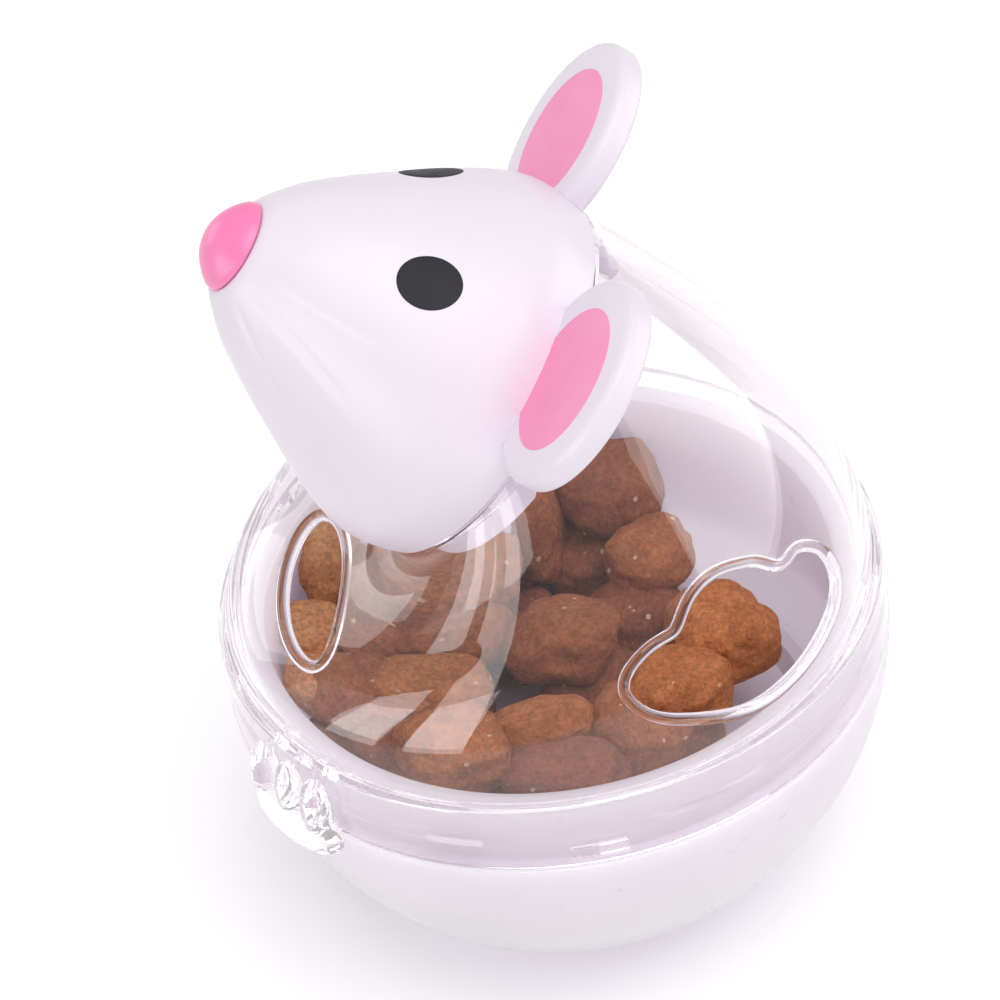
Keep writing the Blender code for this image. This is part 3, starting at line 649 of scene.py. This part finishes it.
def dome_ring(t, inside=0.0):
    """Half width, and the back and front points, of the dome's section at t from skirt to neck.

    inside is 0 for the outer face of the wall and 1 for the inner face.
    """
    neck_r = NECK_R + (THROAT_R - NECK_R) * inside
    dome_r = DOME_R - DOME_WALL * inside
    neck_y = NECK_Y + (HEAD_AXIS.y * THROAT_TOP - math.sin(NECK_TILT) * THROAT_AHEAD) * inside
    neck_z = NECK_Z + (HEAD_AXIS.z * THROAT_TOP - math.cos(NECK_TILT) * THROAT_AHEAD) * inside
    rise = Vector((math.sin(NECK_TILT), math.cos(NECK_TILT))) * neck_r
    back_top = (neck_y + rise.x, neck_z + rise.y)
    front_top = (neck_y - rise.x, neck_z - rise.y)
    rear_angle = math.radians(REAR_TOP_ANGLE)
    front_angle = math.radians(FRONT_TOP_ANGLE)
    rear = ((dome_r, DOME_Z), (dome_r, DOME_Z + REAR_HANDLE_LOW),
            (back_top[0] + REAR_HANDLE_TOP * math.cos(rear_angle),
             back_top[1] - REAR_HANDLE_TOP * math.sin(rear_angle)), back_top)
    front = ((-dome_r, DOME_Z), (-dome_r, DOME_Z + FRONT_HANDLE_LOW),
             (front_top[0] - FRONT_HANDLE_TOP * math.cos(front_angle),
              front_top[1] - FRONT_HANDLE_TOP * math.sin(front_angle)), front_top)
    side = ((dome_r,), (dome_r,), (neck_r + SIDE_HANDLE_TOP,), (neck_r,))
    back = bezier(*rear, t)
    fore = bezier(*front, t)
    return bezier(*side, t)[0], back[0], fore[0], back[1], fore[1]


def ring_points(half, y_back, y_fore, z_back, z_fore):
    points = []
    for i in range(LID_AROUND):
        a = 2 * math.pi * i / LID_AROUND
        y = (y_back + y_fore) / 2 + (y_back - y_fore) / 2 * math.sin(a)
        z = (z_back + z_fore) / 2 + (z_back - z_fore) / 2 * math.sin(a)
        points.append(Vector((half * math.cos(a), y, z)))
    return points


def level_ring(r, z):
    return ring_points(r, r, -r, z, z)


def neck_ring(r, h):
    """A circle about the head's axis, with radius r and h above the neck's edge."""
    y = NECK_Y + HEAD_AXIS.y * h
    z = NECK_Z + HEAD_AXIS.z * h
    rise_y = math.sin(NECK_TILT) * r
    rise_z = math.cos(NECK_TILT) * r
    return ring_points(r, y + rise_y, y - rise_y, z + rise_z, z - rise_z)


def lid_body():
    """The lid's wall as one closed grid: up the outside, over the neck's edge and down the inside."""
    shoulder = rounded([(SKIRT_R - 0.35, SKIRT_BOTTOM_Z, 0.0), (SKIRT_R, SKIRT_BOTTOM_Z, 0.25),
                        (SKIRT_R, SHOULDER_Z, 0.9), (DOME_R + 0.12, DOME_Z - 0.12, 0.9),
                        (DOME_R, DOME_Z + 1.5, 0.0)], steps=10)
    skirt = []
    for (r0, z0), (r1, z1) in zip(shoulder, shoulder[1:]):
        count = max(1, int(round(math.hypot(r1 - r0, z1 - z0) / 0.5)))
        for k in range(count):
            skirt.append(level_ring(r0 + (r1 - r0) * k / count, z0 + (z1 - z0) * k / count))
    skirt = [ring for ring in skirt if ring[0].z < DOME_Z]
    dome = [ring_points(*dome_ring(k / DOME_RINGS)) for k in range(DOME_RINGS + 1)]
    inner = [ring_points(*dome_ring(k / DOME_RINGS, 1.0)) for k in range(DOME_RINGS + 1)]
    neck = rounded([(NECK_R, 0.0, 0.0), (NECK_BORE_R, 0.0, 0.4), (NECK_BORE_R, -NECK_DEPTH, 0.2),
                    (THROAT_R, -NECK_DEPTH, 0.0)], steps=8)
    throat = [neck_ring(r, h) for r, h in neck[1:-1]]
    inside_r = SKIRT_R - LID_WALL
    band = rounded([(inner[0][0].x, DOME_Z, 0.0), (inner[0][0].x, STEP_Z, 0.3), (inside_r, STEP_Z, 0.25),
                    (inside_r, BAND_TOP_Z + 0.4, 0.3), (BAND_INNER_R, BAND_TOP_Z - 0.4, 0.5),
                    (BAND_INNER_R, SKIRT_BOTTOM_Z, 0.25), (SKIRT_R - 0.35, SKIRT_BOTTOM_Z, 0.0)], steps=8)
    lower = [level_ring(r, z) for r, z in band[1:-1]]
    return grid_solid(skirt + dome + throat + list(reversed(inner)) + lower)


def surface_path(lid, outline, matrix, start_height):
    """Outline points dropped onto the lid's outside: places and outward normals, in millimetres."""
    bm = bmesh.new()
    bm.from_mesh(lid.data)
    tree = BVHTree.FromBMesh(bm)
    bm.free()
    direction = -(matrix.to_3x3() @ Vector((0.0, 0.0, 1.0)))
    places, normals = [], []
    for x, y in outline:
        start = matrix @ Vector((x, y, start_height))
        place, normal, _, _ = tree.ray_cast(start * MM, direction)
        places.append(place / MM)
        normals.append(normal)
    return places, soften(normals, HOLE_SOFTENING)


def soften(vectors, rounds):
    """Average each direction with its neighbours along a closed line."""
    for _ in range(rounds):
        count = len(vectors)
        vectors = [(vectors[i - 1] + vectors[i] * 2.0 + vectors[(i + 1) % count]).normalized()
                   for i in range(count)]
    return vectors


def hole_cutter(places, normals):
    """A plug whose sides stand square to the wall all along the outline."""
    high = [p + n * HOLE_PLUG_OUT for p, n in zip(places, normals)]
    low = [p - n * HOLE_PLUG_IN for p, n in zip(places, normals)]
    bm = bmesh.new()
    rings = [[bm.verts.new(p) for p in ring] for ring in (low, high)]
    join_rings(bm, rings, False)
    bm.faces.new(rings[1])
    bm.faces.new(list(reversed(rings[0])))
    bmesh.ops.triangulate(bm, faces=[f for f in bm.faces if len(f.verts) > 4])
    return piece_from("hole_cutter", bm)


def hole_bead(places, normals):
    """The round lip along a hole: a closed tube at the middle of the wall."""
    count = len(places)
    centres = [p - n * (DOME_WALL / 2.0) for p, n in zip(places, normals)]
    for _ in range(2):
        centres = [(centres[i - 1] + centres[i] * 2.0 + centres[(i + 1) % count]) / 4.0
                   for i in range(count)]
    bm = bmesh.new()
    rings = []
    for i in range(count):
        along = (centres[(i + 1) % count] - centres[i - 1]).normalized()
        across = along.cross(normals[i]).normalized()
        lift = across.cross(along)
        ring = []
        for k in range(HOLE_BEAD_AROUND):
            a = 2 * math.pi * k / HOLE_BEAD_AROUND
            spoke = across * math.cos(a) + lift * math.sin(a)
            ring.append(bm.verts.new(centres[i] + spoke * HOLE_BEAD_R))
        rings.append(ring)
    join_rings(bm, rings, True)
    return piece_from("hole_bead", bm)


def make_paw(azimuth):
    """A pad with three long toes, its blend softened, hollowed where the skirt and bowl are."""
    bm = bmesh.new()
    lumps = [(PAD_CENTRE[0], 0.0, PAD_CENTRE[1], PAD_HALF)]
    for t in (-1, 0, 1):
        lumps.append((TOE_CENTRE[0], t * TOE_PITCH, TOE_CENTRE[1], TOE_HALF))
    for x, y, z, half in lumps:
        made = bmesh.ops.create_uvsphere(bm, u_segments=32, v_segments=20, radius=1.0)
        bmesh.ops.scale(bm, vec=Vector(half), verts=made["verts"])
        bmesh.ops.translate(bm, vec=Vector((x, y, z)), verts=made["verts"])
    paw = piece_from("paw", bm)
    remesh = paw.modifiers.new("melt", 'REMESH')
    remesh.mode = 'VOXEL'
    remesh.voxel_size = PAW_VOXEL * MM
    remesh.use_smooth_shade = True
    soft = paw.modifiers.new("soft", 'SMOOTH')
    soft.factor = 0.5
    soft.iterations = PAW_SOFTENING
    apply_modifiers(paw)
    step_angle = math.degrees(math.asin(PAW_STEP_Z / PAW_INNER_R))
    profile = [(0.0, PAW_TOP_Z), (SKIRT_R - 0.4, PAW_TOP_Z), (SKIRT_R - 0.4, PAW_STEP_Z)]
    profile += arc(PAW_INNER_R, step_angle, PAW_LOW_ANGLE, 48)
    profile += [(0.0, PAW_INNER_R * math.sin(math.radians(PAW_LOW_ANGLE)))]
    combine(paw, piece_from("paw_inner", lathe(profile, 256)), 'DIFFERENCE')
    triangulate(paw)
    return move(paw, Matrix.Rotation(math.radians(azimuth), 4, 'Z'))


def make_lid():
    lid = piece_from("clear_lid", lid_body())
    heart = smooth_outline(HEART_OUTLINE, HEART_SPAN_STEPS)
    oval = ellipse(OVAL_HALF[0], OVAL_HALF[1], OVAL_STEPS)
    lean = Matrix.Translation(OVAL_CENTRE) @ Matrix.Rotation(math.radians(OVAL_LEAN), 4, 'X')
    holes = [surface_path(lid, heart, facing(HEART_AZIMUTH, HEART_ELEVATION), HEART_DROP),
             surface_path(lid, oval, lean, OVAL_DROP)]
    for places, normals in holes:
        combine(lid, hole_cutter(places, normals), 'DIFFERENCE')
    for places, normals in holes:
        combine(lid, hole_bead(places, normals), 'UNION')
    for i in range(LUG_COUNT):
        start = LID_LUG_START + 360.0 * i / LUG_COUNT
        bm = sector(LID_LUG_R, BAND_INNER_R + 0.4, start, LUG_ARC, LID_LUG_Z[0], LID_LUG_Z[1])
        bmesh.ops.bevel(bm, geom=bm.edges[:], offset=0.1, segments=2, affect='EDGES')
        combine(lid, piece_from("lug", bm), 'UNION')
    for azimuth in PAW_AZIMUTHS:
        combine(lid, make_paw(azimuth), 'UNION')
    shade(lid, 14.0)
    move(lid, BALL)
    settle(lid, CLEAR, "lid_body", ["lid"])


# ---------------------------------------------------------------- head

def head_radius(s):
    """The head's radius at distance s from the neck plane, a smooth curve through the profile."""
    pts = HEAD_PROFILE
    for i in range(len(pts) - 1):
        if s <= pts[i + 1][0] or i == len(pts) - 2:
            break
    (s1, r1), (s2, r2) = pts[i], pts[i + 1]
    s0, r0 = pts[i - 1] if i else (2 * s1 - s2, 2 * r1 - r2)
    s3, r3 = pts[i + 2] if i + 2 < len(pts) else (2 * s2 - s1, 2 * r2 - r1)
    span = s2 - s1
    m1 = (r2 - r0) / (s2 - s0) * span
    m2 = (r3 - r1) / (s3 - s1) * span
    t = (s - s1) / span
    return ((2 * t ** 3 - 3 * t ** 2 + 1) * r1 + (t ** 3 - 2 * t ** 2 + t) * m1
            + (3 * t ** 2 - 2 * t ** 3) * r2 + (t ** 3 - t ** 2) * m2 - HEAD_SLACK)


def whisker_relief(s, angle):
    """Height of the pressed folds on the cheeks; angle in degrees, 90 is the top of the head."""
    if not WHISKER_REAR - 2.0 < s < WHISKER_FRONT + 1.0:
        return 0.0
    mirrored = angle if -90.0 <= angle <= 90.0 else (180.0 - angle if angle > 0 else -180.0 - angle)
    t = (WHISKER_FRONT - s) / (WHISKER_FRONT - WHISKER_REAR)
    rear_fade = min(1.0, max(0.0, (s - WHISKER_REAR + 2.0) / 3.0))
    front_fade = min(1.0, max(0.0, (WHISKER_FRONT + 1.0 - s) / 1.5))
    height = 0.0
    for front, rear in WHISKERS:
        gap = math.radians(mirrored - (front + (rear - front) * t)) * head_radius(s)
        height -= WHISKER_FOLD[0] * math.exp(-(gap / WHISKER_FOLD[1]) ** 2)
        height += WHISKER_RIDGE[0] * math.exp(-((gap + WHISKER_RIDGE_AWAY) / WHISKER_RIDGE[1]) ** 2)
    return height * (rear_fade * front_fade)


def head_ring(s, inset=0.0, relief=False):
    ring = []
    for i in range(HEAD_AROUND):
        degrees = -180.0 + 360.0 * i / HEAD_AROUND
        r = head_radius(s) - inset
        if relief:
            r += whisker_relief(s, degrees)
        a = math.radians(degrees)
        ring.append(Vector((r * math.cos(a), r * math.sin(a), s)))
    return ring


def plain_ring(r, s):
    """A circle of radius r about the head's axis, at distance s from the neck plane."""
    angles = [math.radians(-180.0 + 360.0 * i / HEAD_AROUND) for i in range(HEAD_AROUND)]
    return [Vector((r * math.cos(a), r * math.sin(a), s)) for a in angles]


def make_head():
    first = HEAD_PROFILE[0][0]
    last = HEAD_PROFILE[-1][0]
    outside = [first + (last - first) * k / HEAD_RINGS for k in range(1, HEAD_RINGS + 1)]
    rings = [head_ring(s, relief=True) for s in outside]
    nose_edge = head_radius(last)
    for r, s in rounded([(nose_edge, last, 0.0), (nose_edge - 0.15, last, 0.1), (NOSE_HOLE_R, last, 0.2),
                         (NOSE_HOLE_R, last - HEAD_WALL, 0.0)])[1:]:
        rings.append(plain_ring(r, s))
    hollow_end = last - HEAD_WALL
    inside = [hollow_end - (hollow_end - first) * k / HEAD_INNER_RINGS for k in range(1, HEAD_INNER_RINGS)]
    rings += [head_ring(s, inset=HEAD_INSET) for s in inside if head_radius(s) - HEAD_INSET > NOSE_HOLE_R]
    edge = head_radius(first)
    for r, s in rounded([(edge - HEAD_WALL, first + 0.6, 0.0), (edge - HEAD_WALL, first, 0.3),
                         (edge, first, 0.3), (head_radius(outside[0]), outside[0] + 0.3, 0.0)])[1:-1]:
        rings.append(plain_ring(r, s))
    solid = grid_solid(rings)
    bmesh.ops.remove_doubles(solid, verts=solid.verts, dist=SAME_PLACE)
    head = piece_from("head_cover", solid)
    shade(head, 40.0)
    move(head, HEAD)
    settle(head, WHITE_SHELL, "head_body", ["head_shell"])


def head_solid(grow):
    """The head's outer form as a plain solid, larger by grow, for cutting and for finding its surface."""
    last = HEAD_PROFILE[-1][0]
    profile = [(0.0, last)]
    profile += [(head_radius(last * (1 - k / 80)) + grow, last * (1 - k / 80)) for k in range(80)]
    profile += [(head_radius(0.3) + grow, -3.0), (0.0, -3.0)]
    return piece_from("head_solid", lathe(profile, 180))


def make_nose():
    base = HEAD_PROFILE[-1][0] + GAP
    tip = base + NOSE_LENGTH
    dome = [(r, tip - drop) for r, drop in NOSE_DOME]
    curve = []
    for i in range(len(dome) - 1):
        p0 = Vector(dome[i - 1]) if i else Vector((-dome[1][0], dome[1][1]))
        p1 = Vector(dome[i])
        p2 = Vector(dome[i + 1])
        p3 = Vector(dome[i + 2]) if i + 2 < len(dome) else Vector((NOSE_BASE_R, base))
        for k in range(6):
            t = k / 6
            curve.append(0.5 * ((2 * p1) + (p2 - p0) * t + (2 * p0 - 5 * p1 + 4 * p2 - p3) * t * t
                                + (3 * p1 - p0 - 3 * p2 + p3) * t ** 3))
    curve[0].x = 0.0
    stub_end = base - NOSE_STUB_LENGTH
    foot = GAP * 0.8
    corners = [(p.x, p.y, 0.0) for p in curve]
    corners += [(dome[-1][0], dome[-1][1], 0.3), (NOSE_BASE_R, base + 0.15 - foot, 0.12),
                (NOSE_BASE_R - 0.2, base - foot, 0.1), (NOSE_STUB_R, base - foot, 0.1),
                (NOSE_STUB_R, stub_end, 0.3), (0.0, stub_end, 0.0)]
    nose = piece_from("nose_cap", lathe(rounded(corners), 128))
    shade(nose, 40.0)
    move(nose, HEAD)
    settle(nose, PINK_NOSE, "head_body", ["nose"])


def make_collar():
    """The push-in collar: a flange inside the head and a ring of tabs below it, round at the corners."""
    def tab_end(degrees):
        """Height of the ring's lower edge at an angle."""
        nearest = min(abs((degrees - slot + 180.0) % 360.0 - 180.0) for slot in COLLAR_SLOTS)
        across = math.radians(nearest) * COLLAR_OUTER_R - COLLAR_SLOT_WIDTH / 2.0
        corner = COLLAR_TAB_CORNER
        if across >= corner:
            return -COLLAR_DEPTH
        if across >= 0.0:
            return -COLLAR_DEPTH + corner - math.sqrt(max(corner ** 2 - (corner - across) ** 2, 0.0))
        top = COLLAR_SLOT_CORNER
        if across <= -top:
            return COLLAR_SLOT_END
        return COLLAR_SLOT_END - top + math.sqrt(max(top ** 2 - (top + across) ** 2, 0.0))

    section = rounded([(COLLAR_INNER_R, COLLAR_FLANGE_TOP, 0.2), (COLLAR_FLANGE_R, COLLAR_FLANGE_TOP, 0.2),
                       (COLLAR_FLANGE_R, GAP, 0.1), (COLLAR_OUTER_R, GAP, 0.1),
                       (COLLAR_OUTER_R, -1.0, 0.3), (COLLAR_INNER_R, -1.0, 0.3)], closed=True)
    rings = []
    for r, z in section:
        ring = []
        for i in range(COLLAR_AROUND):
            degrees = 360.0 * i / COLLAR_AROUND
            a = math.radians(degrees)
            low = z if z > 0.0 else z + tab_end(degrees) + 1.0
            ring.append(Vector((r * math.cos(a), r * math.sin(a), low)))
        rings.append(ring)
    collar = piece_from("neck_collar", grid_solid(rings))
    shade(collar, 40.0)
    move(collar, HEAD)
    settle(collar, WHITE_SHELL, "head_body", ["head_collar"])


def ear_matrix(side):
    a = math.radians(EAR_ANGLE)
    return Matrix.Translation((side * EAR_CENTRE_R * math.cos(a), EAR_CENTRE_R * math.sin(a), 0.0))


def make_ear(side, name):
    profile = rounded([(0.0, EAR_FRONT, 0.0), (EAR_R, EAR_FRONT, EAR_ROUND),
                       (EAR_R, GAP, EAR_BACK_ROUND), (0.0, GAP, 0.0)], steps=8)
    ear = move(piece_from("ear_plate_" + name, lathe(profile, 192)), ear_matrix(side))
    combine(ear, head_solid(0.02), 'DIFFERENCE')
    shade(ear, 32.0)
    move(ear, HEAD)
    settle(ear, WHITE_SHELL, "head_body", ["ear_" + name])

    face = rounded([(0.0, EAR_FRONT + PRINT_HEIGHT, 0.0), (PAD_R, EAR_FRONT + PRINT_HEIGHT, 0.04),
                    (PAD_R, EAR_FRONT - 0.1, 0.0), (0.0, EAR_FRONT - 0.1, 0.0)])
    pad = move(piece_from("ear_print_" + name, lathe(face, 160)), ear_matrix(side))
    combine(pad, head_solid(0.02), 'DIFFERENCE')
    shade(pad, 32.0)
    move(pad, HEAD)
    settle(pad, PINK_PRINT, "head_body", ["ear_pad_" + name])


def eye_matrix(side):
    """Axes of an eye: Z out of the head, X along its length."""
    a = math.radians(EYE_ANGLE)
    slope = math.radians(EYE_SLOPE)
    radial = Vector((side * math.cos(a), math.sin(a), 0.0))
    axis = Vector((0.0, 0.0, 1.0))
    out = radial * math.cos(slope) + axis * math.sin(slope)
    along = axis * math.cos(slope) - radial * math.sin(slope)
    matrix = Matrix((along, out.cross(along), out)).transposed().to_4x4()
    matrix.translation = radial * EYE_RADIUS + axis * EYE_ALONG
    return matrix


def make_eye(side, name):
    """An oval print that follows the head, a little proud of it."""
    bm = bmesh.new()
    solid = head_solid(0.0)
    bm.from_mesh(solid.data)
    tree = BVHTree.FromBMesh(bm)
    bm.free()
    bpy.data.objects.remove(solid, do_unlink=True)
    matrix = eye_matrix(side)
    inward = -(matrix.to_3x3() @ Vector((0.0, 0.0, 1.0)))
    bm = bmesh.new()
    rings = []
    around, across = 96, 18
    for k in range(across + 3):
        size = min(k, across) / across
        height = PRINT_HEIGHT if k < across else (PRINT_HEIGHT * 0.5, 0.0, -0.1)[k - across]
        ring = []
        for i in range(around if k else 1):
            a = 2 * math.pi * i / around
            flat = (EYE_HALF[0] * size * math.cos(a), EYE_HALF[1] * size * math.sin(a), EYE_DROP)
            start = matrix @ Vector(flat)
            place, normal, _, _ = tree.ray_cast(start * MM, inward)
            ring.append(bm.verts.new(place / MM + normal * height))
        rings.append(ring)
    centre = bm.verts.new(rings[0][0].co + inward * (PRINT_HEIGHT + 0.3))
    join_rings(bm, rings + [[centre]], False)
    eye = piece_from("eye_print_" + name, bm)
    shade(eye, 40.0)
    move(eye, HEAD)
    settle(eye, BLACK_PRINT, "head_body", ["eye_" + name])


# ---------------------------------------------------------------- treats

# the heap: place in the ball's frame, half sizes along X, Y and Z, turn about Z, which of the browns
TREATS = (
    ((-3.0, -0.5, -5.2), (4.7, 5.6, 3.8), -5.0, 0),
    ((10.0, -2.0, -5.2), (3.3, 5.3, 2.6), 8.0, 2),
    ((-20.0, -3.5, -4.8), (5.6, 3.0, 5.2), 0.0, 0),
    ((-22.0, 4.5, -3.7), (4.9, 5.5, 4.3), 10.0, 1),
    ((-13.5, 8.5, -5.5), (4.2, 4.3, 3.3), 20.0, 0),
    ((-18.5, 1.0, -9.5), (4.0, 3.6, 3.6), 0.0, 1),
    ((-10.0, 6.5, -9.5), (4.5, 4.9, 3.8), 0.0, 1),
    ((-2.5, 15.5, -6.5), (5.5, 5.2, 4.5), 25.0, 2),
    ((6.0, 11.0, -5.6), (4.4, 5.2, 3.3), -12.0, 2),
    ((8.0, 7.5, -8.4), (5.2, 5.8, 4.6), 0.0, 0),
    ((15.0, 0.0, -7.0), (3.8, 5.8, 2.8), 0.0, 1),
    ((4.5, -13.0, -3.4), (4.2, 6.6, 3.3), -8.0, 2),
    ((-4.0, -11.5, -4.2), (4.1, 5.9, 3.1), 5.0, 0),
    ((-11.5, -11.0, -3.2), (4.7, 5.6, 3.8), 0.0, 2),
    ((12.0, -10.5, -5.2), (5.1, 5.5, 4.5), 15.0, 2),
    ((3.5, -19.5, -4.6), (4.5, 4.8, 3.9), 0.0, 0),
    # these three in the front hole take the fourth, lighter brown: painted light where the head shades them
    ((-12.0, -21.3, -1.2), (4.6, 3.1, 5.0), -31.0, 3),
    ((-4.0, -24.0, -3.0), (3.4, 3.4, 3.1), 0.0, 3),
    ((2.0, -23.8, -5.0), (3.7, 3.7, 3.4), 0.0, 3),
    ((-4.0, -17.5, -3.6), (3.5, 3.7, 3.0), 30.0, 0),
    ((-9.5, -18.0, -3.4), (4.2, 4.0, 3.5), 0.0, 0),
    ((7.5, -16.5, -7.5), (4.6, 4.6, 3.9), 0.0, 1),
    ((5.5, 10.0, -13.0), (4.8, 4.6, 4.0), 40.0, 1),
)
# rings of treats under them, kept off the empty rear of the bowl: height, radius, how many
FILL_LAYERS = ((-11.8, 22.3, 12), (-12.0, 12.5, 6), (-12.0, 3.0, 1))
FILL_HALF = (4.9, 4.6, 4.1)
FILL_REAR = 3.0
FILL_OFFSET = 0.37        # turns each ring by this share of a treat's spacing
PILLOW = 2.6              # 2 makes a ball, more makes the treat squarer


def treat_mesh(name, half, seed):
    """A lumpy rounded pebble: pillow shape, broad lumps, dents and fine grit."""
    bm = bmesh.new()
    bmesh.ops.create_icosphere(bm, subdivisions=5, radius=1.0)
    offset = Vector((seed * 7.31, seed * 3.17, seed * 5.73))
    for vert in bm.verts:
        d = vert.co.normalized()
        norm = abs(d.x) ** PILLOW + abs(d.y) ** PILLOW + abs(d.z) ** PILLOW
        p = d * norm ** (-1.0 / PILLOW)
        lump = noise.noise(d * 1.15 + offset) * 0.20 + noise.noise(d * 2.6 + offset) * 0.085
        dent = noise.noise(d * 4.5 + offset) * 0.030 + noise.noise(d * 14.0 + offset) * 0.009
        grit = noise.noise(d * 30.0 + offset) * 0.006
        p = p * (1.0 + lump + dent + grit)
        vert.co = Vector((p.x * half[0], p.y * half[1], p.z * half[2]))
    return piece_from(name, bm, 180.0)


def make_treats():
    treats = list(TREATS)
    for z, radius, count in FILL_LAYERS:
        for k in range(count):
            degrees = 360.0 * (k + FILL_OFFSET) / count
            a = math.radians(degrees)
            place = (radius * math.cos(a), radius * math.sin(a), z)
            if place[1] < FILL_REAR:
                treats.append((place, FILL_HALF, degrees * 3.7, 1))
    for i, (place, half, turn, brown) in enumerate(treats):
        obj = treat_mesh("kibble_%02d" % i, half, i + 1)
        move(obj, BALL @ Matrix.Translation(place) @ Matrix.Rotation(math.radians(turn), 4, 'Z'))
        settle(obj, KIBBLES[brown], "bowl_body")


# ---------------------------------------------------------------- floor, light and view

FLOOR_HALF = 4000.0
FLOOR_GLOW = 0.18
WORLD_STRENGTH = 0.50
WALL_BOUNCES = 32         # light crosses the clear wall many times
SOFT_BOUNCES = 8
SEE_THROUGH_LAYERS = 24


def make_floor():
    bm = bmesh.new()
    bmesh.ops.create_grid(bm, x_segments=2, y_segments=2, size=FLOOR_HALF)
    floor = piece_from("floor", bm)
    mat, shader = new_material("floor_paper")
    paper = noise_field(mat, 8.0, 2.0, 0.5, 0.0)
    link(mat, ramp(mat, paper, ((0.3, 0.90), (0.7, 0.92))), shader.inputs["Base Color"])
    shader.inputs["Roughness"].default_value = 0.9
    shader.inputs["Emission Color"].default_value = (1.0, 1.0, 1.0, 1.0)
    shader.inputs["Emission Strength"].default_value = FLOOR_GLOW
    floor.data.materials.append(mat)


def soft_light(name, azimuth, elevation, distance, size, power, lights_matt=True, shows=True):
    """A rectangular softbox that looks at the toy; azimuth 0 is in front of the mouse, 90 its left.

    lights_matt is off for a card that only gives reflections, shows is off for a fill without any.
    """
    away = outward(math.radians(azimuth), math.radians(elevation))
    data = bpy.data.lights.new(name, 'AREA')
    data.shape = 'RECTANGLE'
    data.size = size[0]
    data.size_y = size[1]
    data.energy = power
    lamp = bpy.data.objects.new(name, data)
    bpy.context.scene.collection.objects.link(lamp)
    lamp.matrix_world = away.to_track_quat('Z', 'Y').to_matrix().to_4x4()
    lamp.location = away * distance + Vector((0.0, 0.0, BALL_Z * MM))
    lamp.visible_diffuse = lights_matt
    lamp.visible_glossy = shows


def make_light():
    world = bpy.data.worlds.new("studio")
    bpy.context.scene.world = world
    world.use_nodes = True
    background = world.node_tree.nodes["Background"]
    background.inputs["Color"].default_value = (1.0, 0.985, 1.0, 1.0)
    background.inputs["Strength"].default_value = WORLD_STRENGTH
    soft_light("front_card", 19.0, 11.0, 0.9, (0.28, 0.38), 1.45, lights_matt=False)
    soft_light("side_card", 47.0, 11.0, 0.9, (0.32, 0.38), 1.6, lights_matt=False)
    soft_light("far_card", -38.0, 14.0, 0.9, (0.45, 0.26), 0.8, lights_matt=False)
    soft_light("rear_card", 183.0, 12.0, 0.9, (1.2, 0.56), 5.5, lights_matt=False)
    soft_light("front_fill", 10.0, 12.0, 1.0, (0.7, 0.5), 1.0, shows=False)
    soft_light("top_box", 130.0, 70.0, 1.1, (1.0, 1.0), 9.0)


make_floor()
make_light()
make_bowl()
make_lid()
make_head()
make_nose()
make_collar()
for ear_side, ear_name in ((1, "left"), (-1, "right")):
    make_ear(ear_side, ear_name)
    make_eye(ear_side, ear_name)
make_treats()

for kept, kept_material in (("counterweight", STEEL), ("weight_cover", WHITE_COVER)):
    kept_node = frame["nodes"][kept]
    kept_node.data.materials.clear()
    kept_node.data.materials.append(kept_material)

scene = bpy.context.scene
scene.view_settings.view_transform = 'Standard'
scene.cycles.transparent_max_bounces = SEE_THROUGH_LAYERS
scene.cycles.max_bounces = WALL_BOUNCES
scene.cycles.transmission_bounces = WALL_BOUNCES
scene.cycles.glossy_bounces = WALL_BOUNCES
scene.cycles.diffuse_bounces = SOFT_BOUNCES
